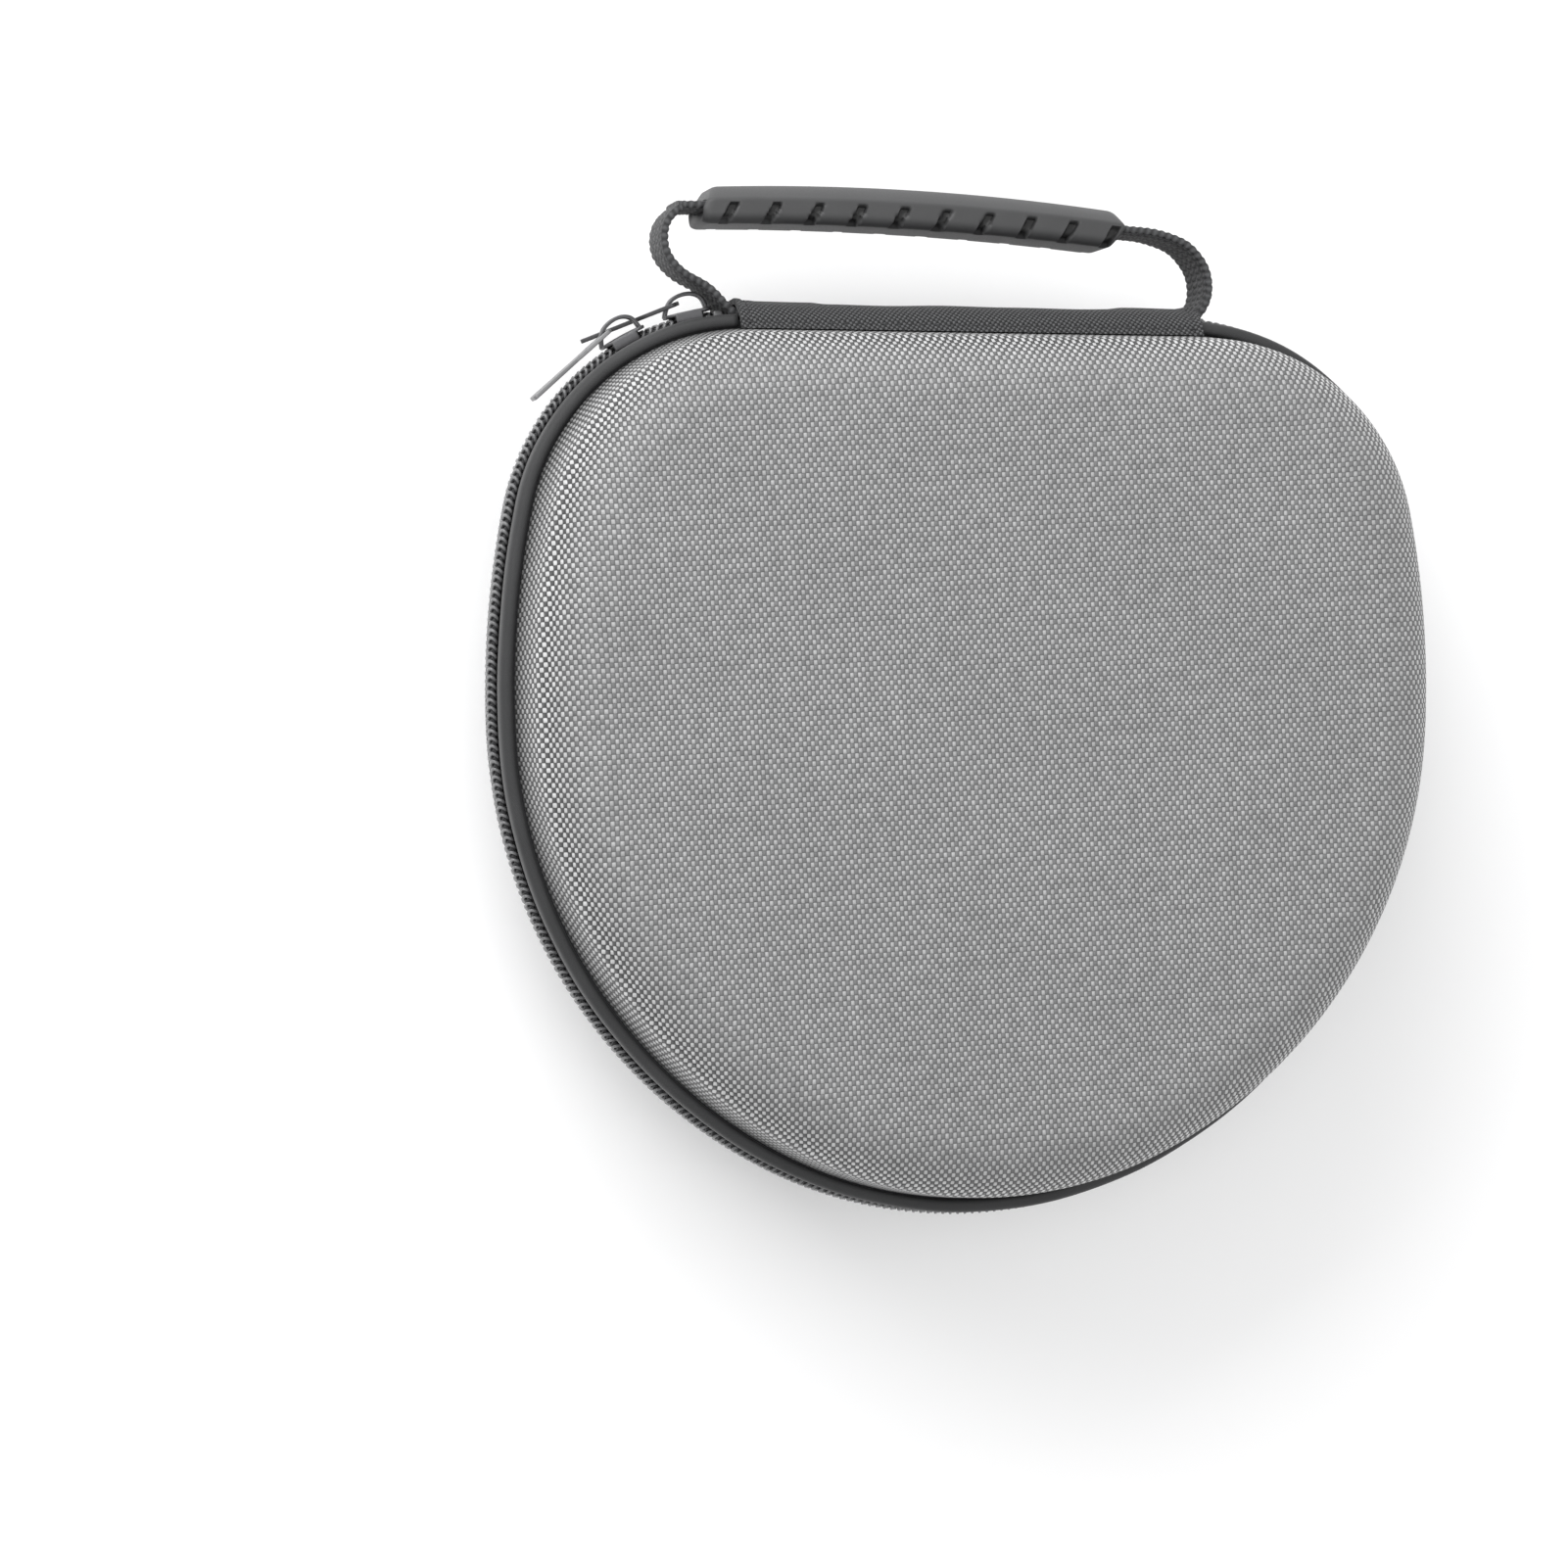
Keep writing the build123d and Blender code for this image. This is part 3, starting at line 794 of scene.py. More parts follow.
def coil(half, offset, name):
    """One continuous nylon coil: loops round the tape's edge, their heads meeting the other half's."""
    s0, s1 = -2.0, L_OPEN + 2.0
    turns = int((s1 - s0) / PITCH)
    per = 14
    k = np.arange(turns * per + 1)
    ph = k * 2 * pi / per
    s = s0 + offset + PITCH * (ph / (2 * pi))
    # the top strand leans forward and the bottom strand returns
    cw, sw = np.cos(ph), np.sin(ph)
    w = 1.30 + 1.52 * cw
    r = 3.80 + 0.84 * np.sign(sw) * np.abs(sw) ** 0.75
    s = s + (0.5 + 0.42 * sw) * (w - 1.3) / 1.52
    rad = 0.36 + 0.13 * np.clip(-(cw + 0.35), 0, 1) + 0.05 * np.clip(sw, 0, 1)
    x, y, nx, ny = chain_frame(np.clip(s, OPEN_S[0], OPEN_S[-1]), 3.65)
    extra = s - np.clip(s, OPEN_S[0], OPEN_S[-1])
    tx, ty = ny, -nx
    px = x + extra * tx + (r - 3.65) * nx
    py = y + extra * ty + (r - 3.65) * ny
    path = np.stack([px, py, MID + half * w], 1)
    v, f = tube(path, rad, sides=6, up=np.stack([nx, ny, np.zeros(len(nx))], 1) + 1e-3)
    core = np.arange(0, L_OPEN, 2.0)
    cx, cy, cnx, cny = chain_frame(core, 3.55)
    cpath = np.stack([cx, cy, np.full(len(cx), MID + half * 2.0)], 1)
    v2, f2 = tube(cpath, 0.42, sides=6, up=(0, 0, 1))
    cord = fix_normals(new_object(name + "_core", v2, f2, np.zeros((len(v2), 2)), mat=MAT["thread"]))
    teeth = fix_normals(new_object(name, v, f, None, None, mat=MAT["coil"]))
    return teeth, cord


for key, half, body, off in (("front", 1, "lid", 0.0), ("rear", -1, "rear", PITCH / 2)):
    z, zc_ = coil(half, off, key + "_zip_teeth")
    finish_piece(z, body, "zip_coil", key + "_zip_coil")
    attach(zc_, body)


def arc_stations(side, deg0, deg1, n):
    return np.array([station(side, 0, radians(deg0 + (deg1 - deg0) * i / (n - 1))) for i in range(n)])


def rounded_profile(r0, r1, w0, w1, b):
    p = []
    for cx, cy, a0 in ((r1 - b, w0 + b, -90), (r1 - b, w1 - b, 0), (r0 + b, w1 - b, 90), (r0 + b, w0 + b, 180)):
        for k in range(4):
            a = radians(a0 + 30 * k)
            p.append((cx + b * cos(a), cy + b * sin(a)))
    return p


def join_objects(name, obs):
    bpy.ops.object.select_all(action="DESELECT")
    for o in obs:
        o.select_set(True)
    bpy.context.view_layer.objects.active = obs[0]
    bpy.ops.object.join()
    obs[0].name = name
    obs[0].data.name = name
    return obs[0]


for key, half, body in (("front", 1, "lid"), ("rear", -1, "rear")):
    parts = []
    for side in (-1, 1):
        prof = rounded_profile(2.55, 5.15, 0.8, 3.35, 0.42)
        st = arc_stations(side, 4.45, 6.85, 7)
        # the clip is pinched towards its two ends
        n = len(st)
        ob = loft("stop", st, prof, False, True, half, MAT["pull_light"], wobble=lambda j, n=n: (np.where((np.arange(n) == 0) | (np.arange(n) == n - 1), -0.35, 0.0), np.zeros(n)),
                  attrs={"edge": np.full(n * len(prof), 0.4)})
        parts.append(fix_normals(ob))
    stops = join_objects(key + "_zip_end_clips", parts)
    finish_piece(stops, body, "zip_metal", key + "_zip_stops")

# --------------------------------------------------------------------------
# fabric hinge
# --------------------------------------------------------------------------
PANEL_HALF = 55.5


def smooth01(t):
    t = np.clip(t, 0, 1)
    return t * t * (3 - 2 * t)


def panel_section(offset, n_flat=10, n_arc=18):
    """(w, r) from the mid plane to the foot on the wall; offset inward from the outside."""
    p = [(8.0 * i / n_flat, 6.2 - offset) for i in range(n_flat)]
    rad = 9.0 - offset
    # the arc ends where it meets the wall
    end = 0.0
    for k in range(2000):
        a = k * 0.001 * pi / 2 * 1.4
        w, r = 8 + rad * sin(a), -2.8 + rad * cos(a)
        if r < 0.3 - DRAFT * (w - 11.5):
            break
        end = a
    for k in range(n_arc + 1):
        a = end * k / n_arc
        p.append((8 + rad * sin(a), -2.8 + rad * cos(a)))
    return np.array(p)


def panel_lift(x, w):
    """The webbing's sewn ends show through the panel as low pads."""
    ax = np.abs(x)
    pad = smooth01((ax - 33.5) / 4.5) * smooth01((10.6 - w) / 3.2)
    end = smooth01((ax - 50.5) / 5.0) * smooth01((10.2 - w) / 3.6)
    ripple = 0.10 * np.sin(x / 7.3 + w * 0.21) + 0.06 * np.sin(x / 3.7 - w * 0.33)
    return 0.38 * pad + 0.75 * end + ripple * smooth01((16.4 - w) / 3.0)


def panel_half(half, name):
    xs = np.linspace(-PANEL_HALF, PANEL_HALF, 171)
    so, si = panel_section(0.0), panel_section(1.45)
    nu, nv = len(xs), len(so)
    tn = np.gradient(so, axis=0)
    nrm = np.stack([-tn[:, 1], tn[:, 0]], 1)
    nrm /= np.linalg.norm(nrm, axis=1)[:, None]
    nrm *= np.sign(nrm[:, 1:2] + 1e-9)
    length = np.concatenate([[0], np.cumsum(np.linalg.norm(np.diff(so, axis=0), axis=1))])
    verts, uvs = [], []
    for sec, is_out in ((so, True), (si, False)):
        for x in xs:
            lift = panel_lift(x, so[:, 0])
            # the sewn hem sinks along the foot and along both ends
            hem = -0.30 * np.exp(-((length - (length[-1] - 1.7)) / 0.55) ** 2) if is_out else 0.0
            ed = abs(abs(x) - (PANEL_HALF - 2.1))
            seam = -0.34 * math.exp(-(ed / 0.5) ** 2) if is_out else 0.0
            d = lift + hem + seam
            w = sec[:, 0] + nrm[:, 0] * d
            r = sec[:, 1] + nrm[:, 1] * d
            w = w * (np.arange(nv) > 0)
            verts.append(np.stack([np.full(nv, x), RIM_Y + r, MID + half * w], 1))
            uvs.append(np.stack([np.full(nv, x), half * length], 1))
    verts = np.concatenate(verts)
    uvs = np.concatenate(uvs)
    n = nu * nv
    out = grid_faces(nu, nv)
    faces = out + [tuple(i + n for i in q[::-1]) for q in out]
    for i in range(nu - 1):
        for j in (0, nv - 1):
            faces.append((i * nv + j, (i + 1) * nv + j, n + (i + 1) * nv + j, n + i * nv + j))
    for j in range(nv - 1):
        for i in (0, nu - 1):
            faces.append((i * nv + j, i * nv + j + 1, n + i * nv + j + 1, n + i * nv + j))
    ob = new_object(name, verts, faces, uvs, mat=MAT["hinge"], sharp=60)
    fix_normals(ob)
    mid = (so + si) / 2
    flat_w = float(np.linalg.norm(np.diff(mid, axis=0), axis=1).sum())
    return ob, flat_w, so, nrm, length


def stitch(points, normals, length=2.1, gap=1.0, rad=0.17, lift=0.02):
    """Stitches laid along a polyline as short sunk threads."""
    d = np.concatenate([[0], np.cumsum(np.linalg.norm(np.diff(points, axis=0), axis=1))])
    parts = []
    s = gap / 2
    while s + length < d[-1]:
        q = np.linspace(s, s + length, 6)
        p = np.stack([np.interp(q, d, points[:, k]) for k in range(3)], 1)
        nn = np.stack([np.interp(q, d, normals[:, k]) for k in range(3)], 1)
        nn /= np.linalg.norm(nn, axis=1)[:, None]
        arch = np.sin(np.linspace(0, pi, 6)) * 0.16 - 0.10
        p = p + nn * (arch + lift)[:, None]
        parts.append(tube(p, rad, sides=6, up=nn))
        s += length + gap
    return merge(parts)


for key, half, a, b, z0, z1 in (("front", 1, "spine", "lid", 47.5, 54.5), ("rear", -1, "rear", "spine", 31.5, 38.5)):
    ob, flat_w, so, nrm, length = panel_half(half, key + "_hinge_panel")
    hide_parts("hinge_panel")
    # sewing: a row above the foot and one inside each end
    rows = []
    xs = np.arange(-PANEL_HALF + 1.2, PANEL_HALF - 1.0, 0.5)
    s_row = length[-1] - 1.7
    w0, r0 = np.interp(s_row, length, so[:, 0]), np.interp(s_row, length, so[:, 1])
    n0 = np.array([0.0, np.interp(s_row, length, nrm[:, 1]), half * np.interp(s_row, length, nrm[:, 0])])
    lf = np.array([panel_lift(x, w0) for x in xs]) - 0.30
    P = np.stack([xs, RIM_Y + r0 + n0[1] * lf, MID + half * w0 + n0[2] * lf], 1)
    rows.append(stitch(P, np.tile(n0, (len(xs), 1))))
    for sx in (-1, 1):
        x = sx * (PANEL_HALF - 2.1)
        q = np.linspace(0.4, length[-1] - 2.4, 60)
        w = np.interp(q, length, so[:, 0])
        r = np.interp(q, length, so[:, 1])
        nn = np.stack([np.zeros(60), np.interp(q, length, nrm[:, 1]), half * np.interp(q, length, nrm[:, 0])], 1)
        lf = np.array([float(panel_lift(x, wi)) for wi in w]) - 0.34
        P = np.stack([np.full(60, x), RIM_Y + r, MID + half * w], 1) + nn * lf[:, None]
        rows.append(stitch(P, nn))
    sv, sf = merge(rows)
    th = fix_normals(new_object(key + "_hinge_stitching", sv, sf, mat=MAT["thread"]))
    lin_w = 10.3
    xs = np.linspace(-54, 54, 55)
    ws = np.linspace(0, lin_w, 12)
    rows_v = []
    for r in (2.7, 2.2):
        for x in xs:
            rows_v.append(np.stack([np.full(12, x), RIM_Y + r + 0.04 * np.sin(x / 5.0 + ws), MID + half * ws], 1))
    V = np.concatenate(rows_v)
    n = 55 * 12
    out = grid_faces(55, 12)
    faces = out + [tuple(i + n for i in q[::-1]) for q in out]
    for i in range(54):
        for j in (0, 11):
            faces.append((i * 12 + j, (i + 1) * 12 + j, n + (i + 1) * 12 + j, n + i * 12 + j))
    for j in range(11):
        for i in (0, 54):
            faces.append((i * 12 + j, i * 12 + j + 1, n + i * 12 + j + 1, n + i * 12 + j))
    lin = fix_normals(new_object(key + "_hinge_lining", V, faces, np.concatenate([V[:, [0, 2]]]), mat=MAT["lining"], sharp=60))
    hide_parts("hinge_lining")
    for o in (ob, th, lin):
        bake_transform(o)


# --------------------------------------------------------------------------
# webbing: sewn ends, handle
# --------------------------------------------------------------------------
def fillet_path(points, radii, step=0.35):
    """Polyline with tangent arcs at its corners, sampled evenly."""
    P = [np.array(p, float) for p in points]
    out = [P[0]]
    for i in range(1, len(P) - 1):
        a, b, c = P[i - 1], P[i], P[i + 1]
        u, v = (a - b) / np.linalg.norm(a - b), (c - b) / np.linalg.norm(c - b)
        ang = math.acos(max(-1, min(1, float(u @ v))))
        rad = radii[i - 1]
        t = rad / tan(ang / 2)
        p0, p1 = b + u * t, b + v * t
        bis = (u + v) / np.linalg.norm(u + v)
        c0 = b + bis * (rad / sin(ang / 2))
        a0 = math.atan2(*(p0 - c0)[::-1])
        a1 = math.atan2(*(p1 - c0)[::-1])
        while a1 - a0 > pi:
            a1 -= 2 * pi
        while a1 - a0 < -pi:
            a1 += 2 * pi
        n = max(3, int(abs(a1 - a0) * rad / 0.4))
        for k in range(n + 1):
            aa = a0 + (a1 - a0) * k / n
            out.append(c0 + rad * np.array([cos(aa), sin(aa)]))
    out.append(P[-1])
    keep = [out[0]]
    for p in out[1:]:
        if np.linalg.norm(p - keep[-1]) > 1e-4:
            keep.append(p)
    return resample(np.array(keep), step)


def ribbon(name, path2, s, width, thick, mat, twist=None, rib=0.07, rib_pitch=1.05, zc=MID, v_off=0.0):
    """Flat webbing: path in the XY plane, its width along Z, with transverse ribs and rolled selvedges."""
    n = len(path2)
    t = np.gradient(path2, axis=0)
    t /= np.linalg.norm(t, axis=1)[:, None]
    nrm = np.stack([-t[:, 1], t[:, 0]], 1)
    half_w, h = width / 2, thick / 2
    m = 22
    us = np.linspace(-1, 1, m)
    top = [(u * half_w, h * (1 - 0.35 * abs(u) ** 10)) for u in us]
    prof = np.array(top + [(half_w + 0.12, 0.0)] + [(z, -y) for z, y in top[::-1]] + [(-half_w - 0.12, 0.0)])
    per = np.concatenate([[0], np.cumsum(np.linalg.norm(np.diff(prof, axis=0), axis=1))])
    tw = np.zeros(n) if twist is None else twist
    V, U = [], []
    for i in range(n):
        c, sn = cos(tw[i]), sin(tw[i])
        w3 = np.array([t[i, 1] * 0 + nrm[i, 0] * sn, nrm[i, 1] * sn, c])
        n3 = np.array([nrm[i, 0] * c, nrm[i, 1] * c, -sn])
        zz, yy = prof[:, 0], prof[:, 1]
        zig = np.abs(((zz / 2.0) % 2.0) - 1.0) * 2.0
        rr = rib * (np.abs(np.sin(pi * (s[i] + 0.45 * zig) / rib_pitch)) * 2 - 1.2) * (np.abs(yy) > 0.3)
        yy2 = yy + np.sign(yy) * rr
        # a lengthwise channel just inside each selvedge
        yy2 = yy2 - np.sign(yy) * 0.16 * np.exp(-((np.abs(zz) - (half_w - 1.5)) / 0.35) ** 2)
        p = np.array([path2[i, 0], path2[i, 1], zc])[None, :] + zz[:, None] * w3[None, :] + yy2[:, None] * n3[None, :]
        V.append(p)
        U.append(np.stack([np.full(len(prof), s[i]), v_off + prof[:, 0]], 1))
    V, U = np.concatenate(V), np.concatenate(U)
    mm = len(prof)
    faces = grid_faces(n, mm, False, True)
    faces.append(tuple(range(mm)))
    faces.append(tuple((n - 1) * mm + j for j in range(mm))[::-1])
    uv = []
    for f in faces:
        for v in f:
            uv.append(U[v])
    return fix_normals(new_object(name, V, faces, np.array(uv), mat=mat, sharp=60))


for nm, sgn in (("left", -1), ("right", 1)):
    x0, x1 = sgn * 36.4, sgn * 55.2
    path = np.array([[x0 + (x1 - x0) * i / 54, RIM_Y + 3.7] for i in range(55)])
    ss = np.linspace(0, 18.8, 55)
    a = ribbon("strap_end_" + nm, path, ss, 15.6, 1.6, MAT["webbing"])
    finish_piece(a, "spine", "webbing", "strap_anchor_" + nm)
    # box stitching through the two layers
    rows = []
    bx = [(x0 + sgn * 2.0, -6.0), (x1 - sgn * 3.0, -6.0), (x1 - sgn * 3.0, 6.0), (x0 + sgn * 2.0, 6.0), (x0 + sgn * 2.0, -6.0), (x1 - sgn * 3.0, 6.0)]
    for (xa, za), (xb, zb) in zip(bx[:-1], bx[1:]):
        k = np.linspace(0, 1, 24)
        P = np.stack([xa + (xb - xa) * k, np.full(24, RIM_Y + 4.5), MID + za + (zb - za) * k], 1)
        rows.append(stitch(P, np.tile([0.0, 1.0, 0.0], (24, 1)), rad=0.14, lift=0.0))
    v, f = merge(rows)
    so_ = fix_normals(new_object("strap_end_stitching_" + nm, v, f, mat=MAT["thread_light"]))
    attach(so_, "spine")

STRAP_PTS = [(-52.5, -1.1), (-55.6, -0.9), (-58.3, 1.6), (-61.4, 5.5), (-67.6, 8.2), (-72.0, 13.0), (-72.2, 19.2), (-69.0, 23.9), (-61.5, 24.2),
             (-12.0, 24.0), (38.5, 20.4), (46.5, 19.9), (54.5, 17.4), (59.2, 11.6), (59.8, 5.5), (58.2, 1.7), (55.4, -0.9), (52.5, -1.1)]
STRAP_RADII = [2.6, 3.2, 4.5, 6.0, 5.0, 4.5, 5.5, 400.0, 60.0, 16.0, 7.0, 6.0, 5.0, 2.6, 2.6]
STRAP_RADII = [2.4, 3.2, 4.5, 6.0, 5.0, 4.5, 5.5, 400.0, 60.0, 16.0, 7.0, 6.0, 5.0, 2.8, 2.0, 2.0]
spath, sarc = fillet_path([(x, TOP + y) for x, y in STRAP_PTS], STRAP_RADII[:len(STRAP_PTS) - 2], 0.3)
k5 = np.exp(-np.linspace(-2.2, 2.2, 31) ** 2 / 2)
k5 /= k5.sum()
soft = np.stack([np.convolve(np.pad(spath[:, c], 15, mode="edge"), k5, mode="valid") for c in (0, 1)], 1)
wgt = smooth01((sarc - 3) / 5) * smooth01((sarc[-1] - 3 - sarc) / 5)
spath = spath + (soft - spath) * wgt[:, None]
tw = radians(2.0) * smooth01((sarc - 7) / 7) * smooth01((30 - sarc) / 12)
strap = ribbon("handle_webbing", spath, sarc, 16.0, 2.0, MAT["webbing"], twist=tw, rib=0.17, rib_pitch=1.75)
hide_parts("handle_strap")
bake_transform(strap)


# grip ---------------------------------------------------------------------
def arc3(p0, p1, p2, x):
    """y of the circle through three points, at x."""
    (ax, ay), (bx, by), (cx, cy) = p0, p1, p2
    d = 2 * (ax * (by - cy) + bx * (cy - ay) + cx * (ay - by))
    ux = ((ax * ax + ay * ay) * (by - cy) + (bx * bx + by * by) * (cy - ay) + (cx * cx + cy * cy) * (ay - by)) / d
    uy = ((ax * ax + ay * ay) * (cx - bx) + (bx * bx + by * by) * (ax - cx) + (cx * cx + cy * cy) * (bx - ax)) / d
    rr = math.hypot(ax - ux, ay - uy)
    sgn = 1 if by > uy else -1
    return uy + sgn * np.sqrt(np.maximum(rr * rr - (x - ux) ** 2, 0))


def grip_mesh():
    nu, nv = 260, 132
    # rounded section, starting at the middle of the top; y in -1..1 and z in mm
    HW, CR = 10.0, 2.7
    V = np.zeros((nu, nv, 3))
    N = np.zeros((nu, nv, 3))
    yfrac = np.zeros((nu, nv))
    for i in range(nu):
        t = i / (nu - 1)
        # stations crowd towards the ends, where the sleeve is rounded
        t = 0.5 - 0.5 * cos(pi * (0.06 + 0.88 * t))
        t = (t - (0.5 - 0.5 * cos(pi * 0.06))) / (1 - 2 * (0.5 - 0.5 * cos(pi * 0.06)))
        xm = -62.6 + (37.4 + 62.6) * t
        yt = float(arc3((-61.0, 28.6), (-12.0, 28.7), (37.0, 24.8), xm))
        yb = float(arc3((-63.4, 19.6), (-12.0, 19.3), (35.2, 16.0), xm))
        endl, endr = xm + 62.6, 37.4 - xm
        e = min(endl, endr)
        shrink = 0.9 * (1 - sqrt(max(0.0, 1 - (1 - min(1, e / 2.2)) ** 2)))
        hh = (yt - yb) / 2 - shrink
        yc = (yt + yb) / 2
        hw = HW - shrink
        cr = min(CR, hh - 0.05)
        # perimeter of the rounded rectangle
        ctrs = [(hw - cr, hh - cr, 90, 0), (hw - cr, -hh + cr, 0, -90), (-hw + cr, -hh + cr, -90, -180), (-hw + cr, hh - cr, 180, 90)]
        pl = [(0.0, hh, 0.0, 1.0)]
        for cz, cy, a0, a1 in ctrs:
            for k in range(13):
                a = radians(a0 + (a1 - a0) * k / 12)
                pl.append((cz + cr * cos(a), cy + cr * sin(a), cos(a), sin(a)))
        pl.append((0.0, hh, 0.0, 1.0))
        pl = np.array(pl)
        dd = np.concatenate([[0], np.cumsum(np.hypot(np.diff(pl[:, 0]), np.diff(pl[:, 1])))])
        q = np.linspace(0, dd[-1], nv + 1)[:-1]
        z, y, nz, ny = (np.interp(q, dd, pl[:, k]) for k in range(4))
        # the upper flanks lean inward above a crease
        z = z * (1 - 0.34 * np.clip((y / hh - 0.22) / 0.78, 0, 1))
        ln = np.hypot(nz, ny) + 1e-9
        nz, ny = nz / ln, ny / ln
        # slanted ends
        f = y / hh
        xl = np.where(f > -0.25, -63.2 + (f + 0.25) / 1.25 * 2.2, -63.2)
        xr = np.where(f > 0.1, 38.6 - (f - 0.1) / 0.9 * 1.6, 38.6 - (0.1 - f) / 1.1 * 3.2)
        x = xl + (xr - xl) * t
        V[i] = np.stack([x, TOP + yc + y, MID + z], 1)
        N[i] = np.stack([np.zeros(nv), ny, nz], 1)
        yfrac[i] = y
    depth = np.zeros((nu, nv))
    for k in range(10):
        cx = -57.2 + 10.2 * k
        yb = arc3((-63.4, 19.6), (-12.0, 19.3), (35.2, 16.0), V[:, :, 0])
        yrel = V[:, :, 1] - TOP - yb
        # leaning right going up
        lx = (V[:, :, 0] - cx) - tan(radians(27)) * (yrel - 2.0)
        lx = lx * cos(radians(27))
        m = smooth01((1.12 - np.abs(lx)) / 0.34) * smooth01((4.9 - yrel) / 0.5)
        face = smooth01((np.abs(V[:, :, 2] - MID) - 6.4) / 1.2)
        depth = np.maximum(depth, m * face)
    # the slots are sunk into both faces
    V = V - N * (depth * 1.25)[:, :, None]
    # painted highlight on the upper part of the sleeve; a thin line along the lower edge towards the left end is
    # lightened too
    top_highlight_and_line = smooth01((yfrac - 1.0) / 0.5) * 0.55
    top_highlight_and_line = np.maximum(top_highlight_and_line, np.exp(-((yfrac + 4.2) / 0.35) ** 2) * smooth01((-40.0 - V[:, :, 0]) / 12.0))
    inner = np.zeros((nu, nv, 3))
    cy = np.interp(V[:, 0, 0], spath[(spath[:, 1] > TOP + 19.0)][:, 0], spath[(spath[:, 1] > TOP + 19.0)][:, 1])
    for i in range(nu):
        a = np.linspace(0, 2 * pi, nv, endpoint=False)
        cz = np.sin(a)
        cyy = np.cos(a)
        zz = 8.35 * np.sign(cz) * np.abs(cz) ** 0.35
        yy = 1.28 * np.sign(cyy) * np.abs(cyy) ** 0.35
        xoff = V[i, :, 0].mean()
        yc = cy[i]
        inner[i] = np.stack([np.interp(yc + yy - TOP, [15, 32], [xoff, xoff]), yc + yy, MID + zz], 1)
    n = nu * nv
    verts = np.concatenate([V.reshape(-1, 3), inner.reshape(-1, 3)])
    faces = grid_faces(nu, nv, False, True)
    faces = faces + [tuple(i + n for i in q[::-1]) for q in faces]
    for j in range(nv):
        j2 = (j + 1) % nv
        faces.append((j, j2, n + j2, n + j))
        e = (nu - 1) * nv
        faces.append((e + j, n + e + j, n + e + j2, e + j2))
    z0 = np.zeros(n)
    return verts, faces, {"groove": np.concatenate([depth.ravel(), z0]), "top_highlight_and_line": np.concatenate([top_highlight_and_line.ravel(), z0])}


gv, gf, ga = grip_mesh()
grip = fix_normals(new_object("handle_grip_sleeve", gv, gf, None, ga, mat=MAT["grip"], sharp=55))
finish_piece(grip, "handle", "grip", "handle_grip")


# --------------------------------------------------------------------------
# sliders and pulls
# --------------------------------------------------------------------------
def offset_loop(P, d):
    """Move a closed counter-clockwise loop inward by d."""
    a, b = np.roll(P, 1, axis=0), np.roll(P, -1, axis=0)
    t = b - a
    t /= np.linalg.norm(t, axis=1)[:, None] + 1e-12
    return P + np.stack([-t[:, 1], t[:, 0]], 1) * d


def rounded_poly(points, radii, step=0.25):
    """Closed polygon with rounded corners, sampled, counter-clockwise."""
    P = [np.array(p, float) for p in points]
    n = len(P)
    out = []
    for i in range(n):
        a, b, c = P[i - 1], P[i], P[(i + 1) % n]
        u, v = (a - b) / np.linalg.norm(a - b), (c - b) / np.linalg.norm(c - b)
        ang = math.acos(max(-1, min(1, float(u @ v))))
        rad = radii[i] if hasattr(radii, "__len__") else radii
        t = rad / tan(ang / 2)
        p0, p1 = b + u * t, b + v * t
        for k in range(7):
            q = k / 6
            out.append((1 - q) ** 2 * p0 + 2 * q * (1 - q) * b + q * q * p1)
    out = np.array(out)
    closed = np.vstack([out, out[:1]])
    r, _ = resample(closed, step)
    return r[:-1]


def plate(P, y0, y1, b=0.2, dome=0.0):
    """Bevelled plate from a closed loop in (x, z); thickness along y. Returns verts, faces, edge."""
    loops, edge = [], []
    for k in range(4):
        a = k / 3 * pi / 2
        loops.append((b * (1 - cos(a)) if False else b * (1 - sin(pi / 2 - a)), None))
    seq = []
    for k in range(5):
        a = pi / 2 * k / 4
        seq.append((b * (1 - sin(a)), y0 + b * (1 - cos(a)) , 1.0))
    seq = [(b * 3.2, y0, 0.0)] + seq
    up = [(ins, y0 + y1 - yy, e) for ins, yy, e in seq][::-1]
    seq = seq + up
    V = []
    for ins, yy, e in seq:
        L = offset_loop(P, ins)
        V.append(np.stack([L[:, 0], np.full(len(L), yy), L[:, 1]], 1))
        edge.append(np.full(len(L), e))
    n = len(P)
    # crowned top
    c = P.mean(0)
    rings = 4
    last = offset_loop(P, b * 3.2)
    for k in range(1, rings):
        q = 1 - k / rings
        L = c + (last - c) * q
        V.append(np.stack([L[:, 0], np.full(len(L), y1 + dome * (1 - q * q)), L[:, 1]], 1))
        edge.append(np.zeros(len(L)))
    m = len(V)
    verts = np.concatenate(V + [np.array([[c[0], y1 + dome, c[1]]])])
    faces = []
    for j in range(m - 1):
        for i in range(n):
            i2 = (i + 1) % n
            faces.append((j * n + i, j * n + i2, (j + 1) * n + i2, (j + 1) * n + i))
    for i in range(n):
        faces.append(((m - 1) * n + i, (m - 1) * n + (i + 1) % n, m * n))
    faces.append(tuple(range(n))[::-1])
    return verts, faces, np.concatenate(edge + [np.zeros(1)])


